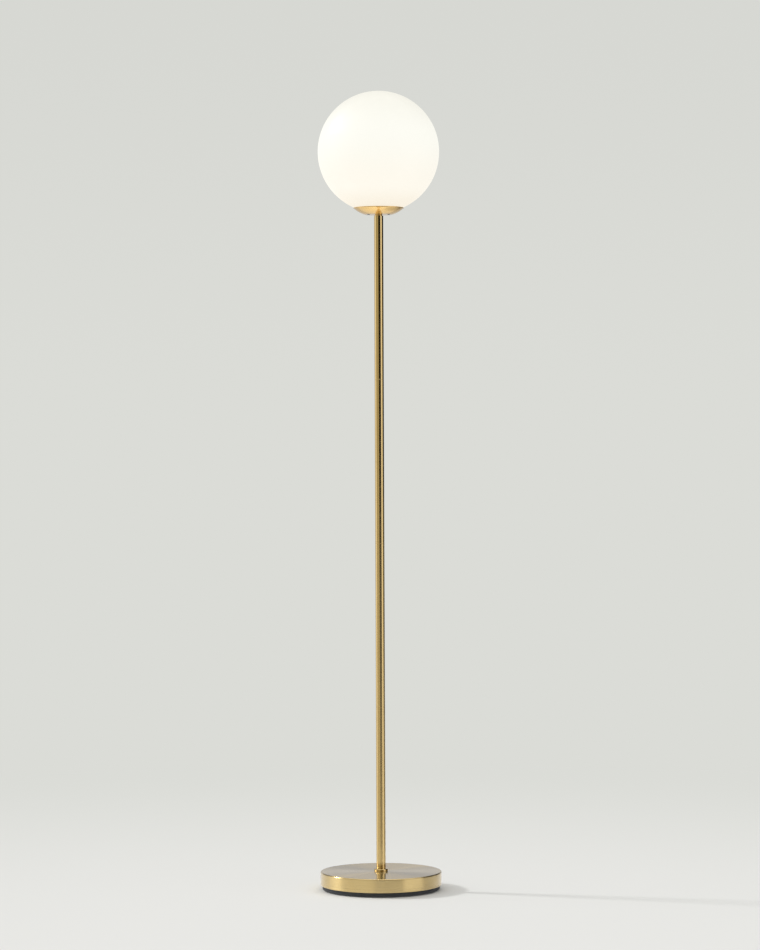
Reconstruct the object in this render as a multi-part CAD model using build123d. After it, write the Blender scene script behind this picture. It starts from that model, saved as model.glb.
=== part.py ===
from build123d import *
import math
import os

# Globe floor lamp, in millimetres. It stands on z = 0, with the stem on the Z axis, the
# front towards -Y and the cable inlet at the rear, towards +Y. From the floor up:
#   base     rubber pads, moulded tray, cast-iron weight, spun brass cover, collar
#   stem     four brass tubes screwed end to end, with the inner flex up the middle
#   gallery  spun brass dish on the stem's top, with three spring claws for the glass
#   holder   screw lampholder on the same threaded nipple, and its bulb
#   globe    opal glass ball that rests on a soft ring in the dish and lifts off

# ---------------------------------------------------------------- clearances
thread_fit = 0.05        # radial play of a screw thread, drawn plain
slip_fit = 0.2           # radial play of a nipple or screw in a drilled hole
running_gap = 0.3        # between pieces that part when the lamp is opened
cut_past = 3.0           # how far a cut runs past the wall that it pierces

# ---------------------------------------------------------------- base
base_d = 250.0           # brass cover, outside
base_top_z = 38.0        # floor to the flat top
cover_low_z = 10.0       # floor to the cover's lower edge
cover_wall = 1.2
cover_top_edge = 1.6     # rounding of the rim of the flat top
cover_lip = 2.3          # how far the lower edge is turned in
cover_low_edge = 1.1     # rounding of that turned edge

tray_under_z = 1.0       # the tray clears the floor by this much, on its pads
tray_wall = 3.0
tray_floor = 2.5
tray_edge = 3.0          # rounding of the tray's lower outer edge
tray_play = 0.5          # the tray and the weight pass the turned lip by this much

weight_under_z = 22.0    # floor to the underside of the iron
weight_chamfer = 1.0

pad_count = 4
pad_d = 14.0
pad_sunk = 1.5           # depth of a pad's recess in the tray
pad_ring_r = 100.0
pad_first_deg = 45.0     # angles are from +X

base_screw_count = 3
base_screw_first_deg = 30.0
base_screw_ring_r = 80.0
base_screw_d = 4.0
base_screw_bite = 9.0    # thread in the iron
base_screw_spare = 1.0   # the tapped hole is this much deeper
base_screw_head_d = 8.0
base_screw_head_h = 2.6
base_screw_sunk = 4.0    # depth of the head's recess
base_screw_cross_w = 1.0 # cross recess in the head
base_screw_cross_h = 1.0
screw_boss_d = 13.0

# ---------------------------------------------------------------- nipples, nuts, washers
nipple_d = 10.0          # M10 x 1 hollow all-thread
nipple_bore_d = 7.2
lamp_nut_across = 14.0
lamp_nut_h = 4.0
washer_d = 24.0
washer_t = 1.5
nut_well_d = 28.0        # recess in the iron for washer and nut
nut_well_depth = 6.0
nipple_past_nut = 1.0
nipple_in_insert = 15.0  # engaged length in the stem's end inserts

# ---------------------------------------------------------------- stem
stem_d = 19.0
stem_wall = 1.0
stem_sections = 4
stem_top_z = 1390.0
collar_d = 28.0
collar_h = 5.0
collar_floor = 2.0
collar_edge = 1.6
end_insert_len = 20.0
joint_thread_d = 12.0
socket_len = 18.0        # threaded socket in the top of the lower tube
stud_len = 14.0          # threaded stud under the upper tube
stud_root_len = 16.0     # the part of the stud's plug that is held in the upper tube
joint_bore_d = 8.0

# ---------------------------------------------------------------- gallery
spacer_d = 15.0
spacer_h = 2.5
dish_d = 104.0           # over the rolled rim
dish_rise = 13.3         # underside of the flat to the middle of the rolled rim
dish_flat_r = 28.0
dish_wall = 1.0
dish_lift_deg = 16.0     # slope where the dish leaves its flat
rim_bead_r = 1.1
claw_count = 3
claw_first_deg = 30.0
claw_strip_t = 0.8
claw_strip_w = 12.0
claw_ring_in_r = 14.0
claw_rise = 12.5         # ring to the widest point of a claw
claw_tip_rise = 9.5      # widest point to the claw's tip
claw_tip_in = 3.0        # how far the tip leans in again
claw_root = 4.0          # the strip's overlap on the ring
claw_root_bend = 1.2
claw_wide_bend = 5.0
gallery_screw_first_deg = 90.0
gallery_screw_d = 3.0
gallery_screw_ring_r = 24.2
gallery_screw_head_d = 5.5
gallery_screw_head_h = 1.9
gallery_nut_across = 5.5
gallery_nut_h = 2.4
gasket_shy = 1.5         # the soft ring ends this far inside the rolled rim's middle
gasket_width = 5.9

# ---------------------------------------------------------------- globe
globe_d = 250.0
glass_wall = 3.0
mouth_r = 34.0
mouth_edge = 1.2         # fire-polished rounding

# ---------------------------------------------------------------- lampholder
holder_d = 40.0
holder_top_d = 37.0
holder_foot_d = 17.0
holder_dome_h = 12.0
holder_dome_round = 4.0
holder_step_z = 15.0     # heights in the lampholder are from its own foot
holder_spigot_top = 22.0
holder_h = 52.0
holder_shoulder_h = 2.0  # where the skirt narrows to its top
holder_shoulder_round = 2.0
holder_cavity_floor = 8.0
holder_wall = 2.0
core_underside = 12.0
core_flange_h = 4.0
core_step = 1.0          # the wide part of the core stops this far under the skirt's floor
core_well_wall = 0.9
shell_bore_r = 13.5      # Edison screw shell, drawn at its mean radius
shell_wall = 0.5
shell_top_drop = 2.5     # the shell ends this far below the holder's mouth
shell_hole_gap = 2.0     # hole in the shell's floor, round the bulb's tip
centre_spring_rise = 4.0
centre_spring_w = 5.0
centre_spring_t = 0.6
centre_spring_bend = 0.8

# ---------------------------------------------------------------- bulb
bulb_d = 60.0
bulb_length = 107.0
bulb_cap_r = 13.2
bulb_cap_wall = 0.4
bulb_cap_top = 27.0      # heights in the bulb are from its tip
bulb_tip_h = 2.0
bulb_tip_r = 4.5
bulb_glass_top = 6.4
bulb_cap_foot_r = 9.0
bulb_cap_foot_w = 2.0    # flat ring at the cap's foot
bulb_cap_cone_h = 2.0
bulb_neck_r = 13.8
bulb_neck_h = 6.0
bulb_neck_round = 12.0
bulb_waist_in = 1.5      # hollow of the housing's flare
bulb_waist_round = 60.0
bulb_spigot = 6.0
bulb_dome_h = 39.0       # the diffuser's height, down to where it meets the housing
bulb_wall = 1.5
bulb_deck_t = 3.0        # plate that carries the board
bulb_deck_w = 3.75       # and its shoulder inside the wall
led_board_gap = 3.0      # from the board's edge to the diffuser
led_board_t = 1.5
led_count = 12
led_ring_in = 8.0        # the ring of chips lies this far inside the board's edge
led_size = 3.0
led_h = 0.8

# ---------------------------------------------------------------- cable inlet, terminals, flex
bush_z = 17.0
bush_d = 8.0
bush_bore_d = 6.2
bush_length = 12.9
bush_flange_d = 11.0
bush_flange_t = 1.5
bush_shy = 0.1           # the bush ends this far inside the cover's surface
block_size = (20.0, 16.0, 12.0)
block_front_y = 40.0
block_poles = 2
block_rib_t = 2.0
block_rib_h = 8.0
block_groove_w = 2.0     # groove between the poles, at each end of the block
block_groove_in = 2.7
block_groove_down = 2.0
barrel_size = 4.6
barrel_shy = 1.0         # the barrel ends this far inside the block
barrel_bore_d = 3.0
terminal_screw_d = 2.6
terminal_screw_h = 3.4
flex_d = 5.4

# ---------------------------------------------------------------- derived places
base_r = base_d / 2
cover_in_r = base_r - cover_wall
lip_r = base_r - cover_lip - cover_wall
tray_r = lip_r - tray_play
weight_top_z = base_top_z - cover_wall
nut_well_top = weight_under_z + nut_well_depth
washer_low_z = nut_well_top - washer_t
base_nut_low_z = washer_low_z - lamp_nut_h
base_nipple_low_z = base_nut_low_z - nipple_past_nut

stem_r = stem_d / 2
stem_bore_r = stem_r - stem_wall
stem_foot_z = base_top_z + collar_floor
section_len = (stem_top_z - stem_foot_z) / stem_sections

dish_z = stem_top_z + spacer_h
dish_floor_z = dish_z + dish_wall
claw_ring_top = dish_floor_z + claw_strip_t
dish_nut_low_z = dish_floor_z + washer_t
holder_z = dish_nut_low_z + lamp_nut_h

nipple_r = nipple_d / 2
nipple_hole_r = nipple_r + slip_fit

# The dish's wall follows one arc, from the edge of its flat to the rolled rim.
rim_r = dish_d / 2 - rim_bead_r
rim_z = dish_z + dish_rise
arc_start = (dish_flat_r, dish_z + dish_wall / 2)
chord = math.hypot(rim_r - arc_start[0], rim_z - arc_start[1])
chord_deg = math.degrees(math.atan2(rim_z - arc_start[1], rim_r - arc_start[0]))
dish_arc_r = chord / (2 * math.sin(math.radians(chord_deg - dish_lift_deg)))
arc_x = arc_start[0] - dish_arc_r * math.sin(math.radians(dish_lift_deg))
arc_z = arc_start[1] + dish_arc_r * math.cos(math.radians(dish_lift_deg))

globe_r = globe_d / 2
globe_z = rim_z + math.sqrt((globe_r + rim_bead_r + running_gap) ** 2 - rim_r ** 2)
glass_in_r = globe_r - glass_wall

core_top = holder_spigot_top + core_flange_h
bulb_tip_z = holder_z + core_top + centre_spring_rise + running_gap
gasket_outer_r = rim_r - gasket_shy
gasket_inner_r = gasket_outer_r - gasket_width
mouth_z = globe_z - math.sqrt(globe_r ** 2 - mouth_r ** 2)

bulb_r = bulb_d / 2
bulb_centre = bulb_length - bulb_r
bulb_shoulder = bulb_length - bulb_dome_h
led_board_r = math.sqrt((bulb_r - bulb_wall) ** 2 - (bulb_centre - bulb_shoulder) ** 2) - led_board_gap
led_ring_r = led_board_r - led_ring_in

flex_run_z = tray_under_z + tray_floor + block_size[2] / 2


# ---------------------------------------------------------------- helpers
STANDING = (Align.CENTER, Align.CENTER, Align.MIN)


def save(node, *solids):
    """Write one node: a single piece, or a group of like pieces."""
    shape = solids[0] if len(solids) == 1 else Compound(children=list(solids))
    export_step(shape, os.path.join("parts", node + ".step"))


def turned(*corners):
    """A piece turned about Z, from (radius, height) or (radius, height, rounding) corners."""
    points = [corner[:2] for corner in corners]
    rounding = [corner[2] if len(corner) > 2 else 0 for corner in corners]
    outline = FilletPolyline(*points, radius=rounding, close=True)
    return revolve(Plane.XZ * make_face(outline), Axis.Z)


def rod(radius, low, high, x=0.0, y=0.0):
    """A round bar along Z."""
    bar = Cylinder(radius, high - low, align=STANDING)
    return Pos(x, y, low) * bar


def tube(outer, inner, low, high, x=0.0, y=0.0):
    """A round tube along Z."""
    return rod(outer, low, high, x, y) - rod(inner, low, high, x, y)


def hex_nut(across, bore_r, low, height, x=0.0, y=0.0):
    """A hexagon nut along Z."""
    block = extrude(RegularPolygon(across / 2, 6, major_radius=False), height)
    return Pos(x, y, low) * block - rod(bore_r, low, low + height, x, y)


def ring_places(count, radius, first_deg):
    """Places spaced evenly round the Z axis."""
    for step in range(count):
        angle = math.radians(first_deg + 360 * step / count)
        yield radius * math.cos(angle), radius * math.sin(angle)


def on_arc(offset, radius):
    """Height of the dish's arc, moved out by offset from its middle, at a radius."""
    return arc_z - math.sqrt((dish_arc_r + offset) ** 2 - (radius - arc_x) ** 2)


def at_height(offset, height):
    """Radius of the dish's arc, moved out by offset from its middle, at a height."""
    return arc_x + math.sqrt((dish_arc_r + offset) ** 2 - (arc_z - height) ** 2)


def under_glass(radius, gap):
    """Height of the ball's underside, a gap outside the glass, at a radius."""
    return globe_z - math.sqrt((globe_r + gap) ** 2 - radius ** 2)


# ---------------------------------------------------------------- base
pad_places = list(ring_places(pad_count, pad_ring_r, pad_first_deg))
screw_places = list(ring_places(base_screw_count, base_screw_ring_r, base_screw_first_deg))
block_y = block_front_y + block_size[1] / 2


def make_base():
    pads = [rod(pad_d / 2, 0, tray_under_z + pad_sunk, x, y) for x, y in pad_places]
    save("foot_pads", *pads)

    floor_top = tray_under_z + tray_floor
    tray = turned(
        (0, tray_under_z),
        (tray_r, tray_under_z, tray_edge),
        (tray_r, weight_under_z),
        (tray_r - tray_wall, weight_under_z),
        (tray_r - tray_wall, floor_top),
        (0, floor_top),
    )
    for x, y in pad_places:
        tray -= rod(pad_d / 2, tray_under_z, tray_under_z + pad_sunk, x, y)
    for x, y in screw_places:
        tray += rod(screw_boss_d / 2, floor_top, weight_under_z, x, y)
        tray -= rod(base_screw_d / 2 + slip_fit, tray_under_z, weight_under_z, x, y)
        sunk_top = tray_under_z + base_screw_sunk
        tray -= rod(base_screw_head_d / 2 + slip_fit, tray_under_z, sunk_top, x, y)
    for side in (-1, 1):
        rib_x = side * (block_size[0] + block_rib_t) / 2
        rib = Box(block_rib_t, block_size[1], block_rib_h, align=STANDING)
        tray += Pos(rib_x, block_y, floor_top) * rib
    slot_low = bush_z - bush_d / 2 - slip_fit
    slot_depth = tray_wall + 2 * cut_past
    slot = Box(bush_d + 2 * slip_fit, slot_depth, weight_under_z - slot_low, align=STANDING)
    tray -= Pos(0, tray_r - tray_wall / 2, slot_low) * slot
    save("base_tray", tray)

    weight = turned(
        (nipple_hole_r, nut_well_top),
        (nut_well_d / 2, nut_well_top),
        (nut_well_d / 2, weight_under_z),
        (tray_r, weight_under_z),
        (tray_r, weight_top_z - weight_chamfer),
        (tray_r - weight_chamfer, weight_top_z),
        (nipple_hole_r, weight_top_z),
    )
    tapped_top = weight_under_z + base_screw_bite + base_screw_spare
    for x, y in screw_places:
        weight -= rod(base_screw_d / 2 + thread_fit, weight_under_z, tapped_top, x, y)
    save("base_weight", weight)

    cover = turned(
        (nipple_hole_r, weight_top_z),
        (cover_in_r, weight_top_z),
        (cover_in_r, cover_low_z + cover_wall),
        (lip_r, cover_low_z + cover_wall),
        (lip_r, cover_low_z),
        (base_r, cover_low_z, cover_low_edge),
        (base_r, base_top_z, cover_top_edge),
        (nipple_hole_r, base_top_z),
    )
    inlet = Rot(X=90) * Cylinder(bush_d / 2 + slip_fit, cover_wall + 2 * cut_past)
    save("base_cover", cover - Pos(0, cover_in_r + cover_wall / 2, bush_z) * inlet)

    screws = []
    for x, y in screw_places:
        seat = tray_under_z + base_screw_sunk
        head = rod(base_screw_head_d / 2, seat - base_screw_head_h, seat, x, y)
        shank = rod(base_screw_d / 2, seat, weight_under_z + base_screw_bite, x, y)
        cross = Box(base_screw_head_d / 2, base_screw_cross_w, 2 * base_screw_cross_h)
        cross += Box(base_screw_cross_w, base_screw_head_d / 2, 2 * base_screw_cross_h)
        screws.append(head + shank - Pos(x, y, seat - base_screw_head_h) * cross)
    save("base_screws", *screws)

    save("base_washer", tube(washer_d / 2, nipple_hole_r, washer_low_z, nut_well_top))
    save("base_nut", hex_nut(lamp_nut_across, nipple_r + thread_fit, base_nut_low_z, lamp_nut_h))
    top = stem_foot_z + nipple_in_insert
    save("base_nipple", tube(nipple_r, nipple_bore_d / 2, base_nipple_low_z, top))


def make_inlet():
    """The bush in the cover's rear wall, drawn along Y with its mouth outside."""
    mouth_y = base_r - bush_shy
    flange_y = cover_in_r - slip_fit - bush_flange_t
    body = Pos(0, mouth_y - bush_length / 2, bush_z) * Rot(X=90) * Cylinder(bush_d / 2, bush_length)
    flange = Rot(X=90) * Cylinder(bush_flange_d / 2, bush_flange_t)
    body += Pos(0, flange_y + bush_flange_t / 2, bush_z) * flange
    bore = Rot(X=90) * Cylinder(bush_bore_d / 2, bush_length + 2 * cut_past)
    save("cord_bush", body - Pos(0, mouth_y - bush_length / 2, bush_z) * bore)


def make_terminals():
    """Two-pole connector block on the tray, with a brass barrel and two screws a pole."""
    width, depth, height = block_size
    low = tray_under_z + tray_floor
    pole_w = width / block_poles
    block = Pos(0, block_y, low + height / 2) * Box(width, depth, height)
    barrels = []
    screws = []
    for pole in range(block_poles):
        x = (pole - (block_poles - 1) / 2) * pole_w
        tunnel = Box(barrel_size, depth, barrel_size)
        block -= Pos(x, block_y, flex_run_z) * tunnel
        barrel = Pos(x, block_y, flex_run_z) * Box(barrel_size, depth - 2 * barrel_shy, barrel_size)
        barrel -= Pos(x, block_y, flex_run_z) * Rot(X=90) * Cylinder(barrel_bore_d / 2, depth)
        for side in (-1, 1):
            y = block_y + side * depth / 4
            top = low + height
            block -= rod(terminal_screw_d / 2 + slip_fit, flex_run_z, top, x, y)
            barrel -= rod(terminal_screw_d / 2 + thread_fit, flex_run_z, top, x, y)
            screw_low = flex_run_z + barrel_bore_d / 2
            screws.append(rod(terminal_screw_d / 2, screw_low, screw_low + terminal_screw_h, x, y))
        barrels.append(barrel)
    for side in (-1, 1):
        groove = Box(block_groove_w, 2 * block_groove_in, 2 * block_groove_down)
        block -= Pos(0, block_y + side * depth / 2, low + height) * groove
    save("terminal_block", block)
    save("terminal_barrels", *barrels)
    save("terminal_screws", *screws)


# ---------------------------------------------------------------- stem
def make_stem():
    collar = turned(
        (nipple_hole_r, base_top_z),
        (collar_d / 2, base_top_z),
        (collar_d / 2, base_top_z + collar_h, collar_edge),
        (stem_r + thread_fit, base_top_z + collar_h),
        (stem_r + thread_fit, stem_foot_z),
        (nipple_hole_r, stem_foot_z),
    )
    save("stem_collar", collar)

    for number in range(1, stem_sections + 1):
        low = stem_foot_z + (number - 1) * section_len
        save(f"stem_tube_{number}", tube(stem_r, stem_bore_r, low, low + section_len))

    thread_r = joint_thread_d / 2
    for number in range(1, stem_sections):
        joint_z = stem_foot_z + number * section_len
        socket = tube(stem_bore_r, thread_r + thread_fit, joint_z - socket_len, joint_z)
        stud = rod(stem_bore_r, joint_z, joint_z + stud_root_len)
        stud += rod(thread_r, joint_z - stud_len, joint_z)
        stud -= rod(joint_bore_d / 2, joint_z - stud_len, joint_z + stud_root_len)
        save(f"stem_socket_{number}", socket)
        save(f"stem_stud_{number}", stud)

    tapped_r = nipple_r + thread_fit
    save("stem_foot_insert", tube(stem_bore_r, tapped_r, stem_foot_z, stem_foot_z + end_insert_len))
    save("stem_top_insert", tube(stem_bore_r, tapped_r, stem_top_z - end_insert_len, stem_top_z))


# ---------------------------------------------------------------- gallery
gallery_screw_places = list(ring_places(claw_count, gallery_screw_ring_r, gallery_screw_first_deg))


def make_dish():
    """Spun dish: a flat, one arc of wall and a rolled rim."""
    half = dish_wall / 2
    outer_start = (at_height(half, dish_z), dish_z)
    inner_start = (at_height(-half, dish_floor_z), dish_floor_z)
    rim_angle = math.atan2(rim_z - arc_z, rim_r - arc_x)
    ends = []
    middles = []
    for offset, start in ((half, outer_start), (-half, inner_start)):
        radius = dish_arc_r + offset
        start_angle = math.atan2(start[1] - arc_z, start[0] - arc_x)
        middle = (start_angle + rim_angle) / 2
        middles.append((arc_x + radius * math.cos(middle), arc_z + radius * math.sin(middle)))
        ends.append((arc_x + radius * math.cos(rim_angle), arc_z + radius * math.sin(rim_angle)))
    outline = [
        Line((nipple_hole_r, dish_z), outer_start),
        ThreePointArc(outer_start, middles[0], ends[0]),
        Line(ends[0], ends[1]),
        ThreePointArc(ends[1], middles[1], inner_start),
        Line(inner_start, (nipple_hole_r, dish_floor_z)),
        Line((nipple_hole_r, dish_floor_z), (nipple_hole_r, dish_z)),
    ]
    dish = revolve(Plane.XZ * make_face(outline), Axis.Z)
    dish += Pos(0, 0, rim_z) * Torus(rim_r, rim_bead_r)
    for x, y in gallery_screw_places:
        dish -= rod(gallery_screw_d / 2 + slip_fit, dish_z, dish_floor_z, x, y)
    save("gallery_dish", dish)


def make_claws():
    """Steel ring on the dish's floor, with leaf springs that bear on the glass mouth."""
    ring_r = dish_flat_r - running_gap
    ring = tube(ring_r, claw_ring_in_r, dish_floor_z, claw_ring_top)
    for x, y in gallery_screw_places:
        ring -= rod(gallery_screw_d / 2 + slip_fit, dish_floor_z, claw_ring_top, x, y)
    mid_z = dish_floor_z + claw_strip_t / 2
    wide_r = mouth_r - running_gap - claw_strip_t
    path = FilletPolyline(
        (ring_r - claw_root, mid_z),
        (ring_r - claw_strip_t / 2, mid_z),
        (wide_r, mid_z + claw_rise),
        (wide_r - claw_tip_in, mid_z + claw_rise + claw_tip_rise),
        radius=[claw_root_bend, claw_wide_bend],
    )
    route = Plane.XZ * path
    section = Plane(origin=route @ 0, x_dir=(0, 1, 0), z_dir=route % 0)
    strip = sweep(section * Rectangle(claw_strip_w, claw_strip_t), route)
    for step in range(claw_count):
        ring += Rot(Z=claw_first_deg + 360 * step / claw_count) * strip
    save("claw_ring", ring)


def make_gallery():
    save("top_spacer", tube(spacer_d / 2, nipple_hole_r, stem_top_z, dish_z))
    make_dish()
    make_claws()

    screws = []
    nuts = []
    radius = gallery_screw_d / 2
    for x, y in gallery_screw_places:
        head = rod(gallery_screw_head_d / 2, dish_z - gallery_screw_head_h, dish_z, x, y)
        head = fillet(head.edges().group_by(Axis.Z)[0], gallery_screw_head_h / 2)
        shank = rod(radius, dish_z, claw_ring_top + gallery_nut_h, x, y)
        screws.append(head + shank)
        nuts.append(hex_nut(gallery_nut_across, radius + thread_fit, claw_ring_top, gallery_nut_h, x, y))
    save("gallery_screws", *screws)
    save("gallery_nuts", *nuts)

    save("dish_washer", tube(washer_d / 2, nipple_hole_r, dish_floor_z, dish_nut_low_z))
    save("dish_nut", hex_nut(lamp_nut_across, nipple_r + thread_fit, dish_nut_low_z, lamp_nut_h))
    low = stem_top_z - nipple_in_insert
    save("top_nipple", tube(nipple_r, nipple_bore_d / 2, low, holder_z + holder_cavity_floor))

    # Soft ring that fills the wedge between the dish and the glass, short of the rim.
    gasket_mid_r = (gasket_inner_r + gasket_outer_r) / 2
    half = dish_wall / 2
    seat = [(r, on_arc(-half, r)) for r in (gasket_inner_r, gasket_mid_r, gasket_outer_r)]
    bearing = [(r, under_glass(r, running_gap)) for r in (gasket_outer_r, gasket_mid_r, gasket_inner_r)]
    outline = [
        ThreePointArc(*seat),
        Line(seat[2], bearing[0]),
        ThreePointArc(*bearing),
        Line(bearing[2], seat[0]),
    ]
    save("glass_gasket", revolve(Plane.XZ * make_face(outline), Axis.Z))


# ---------------------------------------------------------------- globe
def make_globe():
    ball = Pos(0, 0, globe_z) * (Sphere(globe_r) - Sphere(glass_in_r))
    ball -= rod(mouth_r, globe_z - globe_r, globe_z)
    rings = ball.edges().filter_by(GeomType.CIRCLE)
    lip = rings.filter_by(lambda edge: math.isclose(edge.radius, mouth_r, rel_tol=1e-4))
    save("globe_glass", fillet(lip, min(mouth_edge, 0.4 * glass_wall)))


# ---------------------------------------------------------------- lampholder
def make_holder():
    def up(*corners):
        return turned(*[(c[0], holder_z + c[1], *c[2:]) for c in corners])

    outer = holder_d / 2
    spigot_r = outer - holder_wall
    cavity_r = spigot_r - holder_wall
    tapped_r = nipple_r + thread_fit
    cap = up(
        (tapped_r, 0),
        (holder_foot_d / 2, 0),
        (outer, holder_dome_h, holder_dome_round),
        (outer, holder_step_z),
        (spigot_r, holder_step_z),
        (spigot_r, holder_spigot_top),
        (cavity_r, holder_spigot_top),
        (cavity_r, holder_cavity_floor),
        (tapped_r, holder_cavity_floor),
    )
    save("holder_cap", cap)

    # The core is a cup: a plug in the cap's spigot, a flange on it and the shell's well.
    well_r = shell_bore_r + shell_wall
    core = up(
        (0, core_underside),
        (cavity_r - slip_fit, core_underside),
        (cavity_r - slip_fit, holder_spigot_top),
        (spigot_r - slip_fit, holder_spigot_top),
        (spigot_r - slip_fit, core_top - core_step),
        (well_r + core_well_wall, core_top - core_step),
        (well_r + core_well_wall, holder_h - shell_top_drop),
        (well_r, holder_h - shell_top_drop),
        (well_r, core_top),
        (0, core_top),
    )
    save("holder_core", core)

    shell = up(
        (bulb_tip_r + shell_hole_gap, core_top),
        (well_r, core_top),
        (well_r, holder_h - shell_top_drop),
        (shell_bore_r, holder_h - shell_top_drop),
        (shell_bore_r, core_top + shell_wall),
        (bulb_tip_r + shell_hole_gap, core_top + shell_wall),
    )
    save("holder_screw_shell", shell)

    skirt_bore = well_r + core_well_wall + slip_fit
    skirt = up(
        (spigot_r, holder_step_z),
        (outer, holder_step_z),
        (outer, core_top, holder_shoulder_round),
        (holder_top_d / 2, core_top + holder_shoulder_h, holder_shoulder_round),
        (holder_top_d / 2, holder_h),
        (skirt_bore, holder_h),
        (skirt_bore, core_top),
        (spigot_r, core_top),
    )
    save("holder_skirt", skirt)

    # Centre contact: a strip riveted flat on the core, raised in a hump under the bulb's tip.
    low = holder_z + core_top + centre_spring_t / 2
    high = holder_z + core_top + centre_spring_rise - centre_spring_t / 2
    path = FilletPolyline(
        (-bulb_tip_r, low),
        (-bulb_tip_r / 2, low),
        (0, high),
        (bulb_tip_r / 2, high),
        radius=centre_spring_bend,
    )
    route = Plane.XZ * path
    section = Plane(origin=route @ 0, x_dir=(0, 1, 0), z_dir=route % 0)
    save("centre_contact", sweep(section * Rectangle(centre_spring_w, centre_spring_t), route))


# ---------------------------------------------------------------- bulb
def make_bulb():
    def up(*corners):
        return turned(*[(c[0], bulb_tip_z + c[1], *c[2:]) for c in corners])

    contact = up(
        (0, 0),
        (bulb_tip_r, 0, bulb_tip_h / 2),
        (bulb_tip_r, bulb_tip_h),
        (0, bulb_tip_h),
    )
    save("bulb_contact", contact)
    insulator = up(
        (0, bulb_tip_h),
        (bulb_tip_r, bulb_tip_h),
        (bulb_cap_foot_r, bulb_glass_top),
        (0, bulb_glass_top),
    )
    save("bulb_insulator", insulator)

    in_r = bulb_cap_r - bulb_cap_wall
    foot = bulb_glass_top
    cap = up(
        (bulb_cap_foot_r - bulb_cap_foot_w, foot),
        (bulb_cap_foot_r, foot),
        (bulb_cap_r, foot + bulb_cap_cone_h),
        (bulb_cap_r, bulb_cap_top),
        (in_r, bulb_cap_top),
        (in_r, foot + bulb_cap_cone_h + bulb_cap_wall),
        (bulb_cap_foot_r, foot + bulb_cap_wall),
        (bulb_cap_foot_r - bulb_cap_foot_w, foot + bulb_cap_wall),
    )
    save("bulb_cap", cap)

    shoulder_r = math.sqrt(bulb_r ** 2 - (bulb_centre - bulb_shoulder) ** 2)
    waist_z = (bulb_cap_top + bulb_shoulder) / 2
    waist_r = (bulb_neck_r + shoulder_r) / 2 - bulb_waist_in
    neck_top = bulb_cap_top + bulb_neck_h
    deck_low = bulb_shoulder - bulb_deck_t
    plug_low = bulb_cap_top - bulb_spigot
    housing = up(
        (in_r, plug_low),
        (in_r, bulb_cap_top),
        (bulb_neck_r, bulb_cap_top),
        (bulb_neck_r, neck_top, bulb_neck_round),
        (waist_r, waist_z, bulb_waist_round),
        (shoulder_r, bulb_shoulder),
        (0, bulb_shoulder),
        (0, deck_low),
        (shoulder_r - bulb_deck_w, deck_low),
        (waist_r - bulb_wall, waist_z),
        (in_r - bulb_wall, neck_top),
        (in_r - bulb_wall, plug_low),
    )
    save("bulb_housing", housing)

    dome = Pos(0, 0, bulb_tip_z + bulb_centre) * (Sphere(bulb_r) - Sphere(bulb_r - bulb_wall))
    dome -= rod(bulb_d, bulb_tip_z, bulb_tip_z + bulb_shoulder)
    save("bulb_diffuser", dome)

    board_top = bulb_tip_z + bulb_shoulder + led_board_t
    save("led_board", rod(led_board_r, board_top - led_board_t, board_top))
    leds = []
    for step, (x, y) in enumerate(ring_places(led_count, led_ring_r, 0)):
        chip = Box(led_size, led_size, led_h, align=STANDING)
        leds.append(Pos(x, y, board_top) * Rot(Z=360 * step / led_count) * chip)
    save("led_chips", *leds)


# ---------------------------------------------------------------- inner flex
def make_flex():
    """Flex from the terminal block, up through the nipples and the stem to the lampholder."""
    bend_r = base_nipple_low_z - flex_run_z
    path = FilletPolyline(
        (0, block_front_y, flex_run_z),
        (0, 0, flex_run_z),
        (0, 0, holder_z + core_underside),
        radius=[bend_r],
    )
    section = Plane(origin=path @ 0, z_dir=path % 0)
    flex = sweep(section * Circle(flex_d / 2), path)
    save("stem_flex", flex)
    ratio = flex.volume / (math.pi * flex_d ** 2 / 4 * path.length)
    print(f"stem_flex: bend radius {bend_r:.1f}, length {path.length:.0f}, volume ratio {ratio:.4f}")


make_base()
make_inlet()
make_terminals()
make_stem()
make_gallery()
make_globe()
make_holder()
make_bulb()
make_flex()
print(f"section length {section_len:.2f}, dish arc radius {dish_arc_r:.1f}, globe centre {globe_z:.2f}")
lift = bulb_tip_z + bulb_length - mouth_z
print(f"bulb tip {bulb_tip_z:.2f}, bulb top {bulb_tip_z + bulb_length:.2f}, freed at a lift of {lift:.0f}")
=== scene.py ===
"""Looks of a globe floor lamp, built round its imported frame.

An opal glass ball on a slim brass stem with a round weighted base. The glass lifts off three
spring claws and the bulb unscrews. All sizes in the classes are in millimetres.
"""

import cmath
import functools
import logging
import math
from dataclasses import dataclass
from enum import Enum
from typing import Any, ClassVar, Sequence

import bpy
from mathutils import Euler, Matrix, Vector


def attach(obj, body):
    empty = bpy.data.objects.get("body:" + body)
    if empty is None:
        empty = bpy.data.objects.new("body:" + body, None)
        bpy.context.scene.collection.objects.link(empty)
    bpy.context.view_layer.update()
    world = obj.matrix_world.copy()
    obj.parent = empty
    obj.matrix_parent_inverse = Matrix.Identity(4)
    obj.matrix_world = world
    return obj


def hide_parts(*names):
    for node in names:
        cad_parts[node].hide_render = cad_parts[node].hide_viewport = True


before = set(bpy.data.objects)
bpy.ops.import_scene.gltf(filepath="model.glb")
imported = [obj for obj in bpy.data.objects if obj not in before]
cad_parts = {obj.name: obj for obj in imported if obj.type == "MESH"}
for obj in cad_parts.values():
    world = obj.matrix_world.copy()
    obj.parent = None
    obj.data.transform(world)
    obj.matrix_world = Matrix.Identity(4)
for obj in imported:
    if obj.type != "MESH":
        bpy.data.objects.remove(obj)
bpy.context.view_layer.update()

Outline = list[tuple[float, float]]
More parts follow.
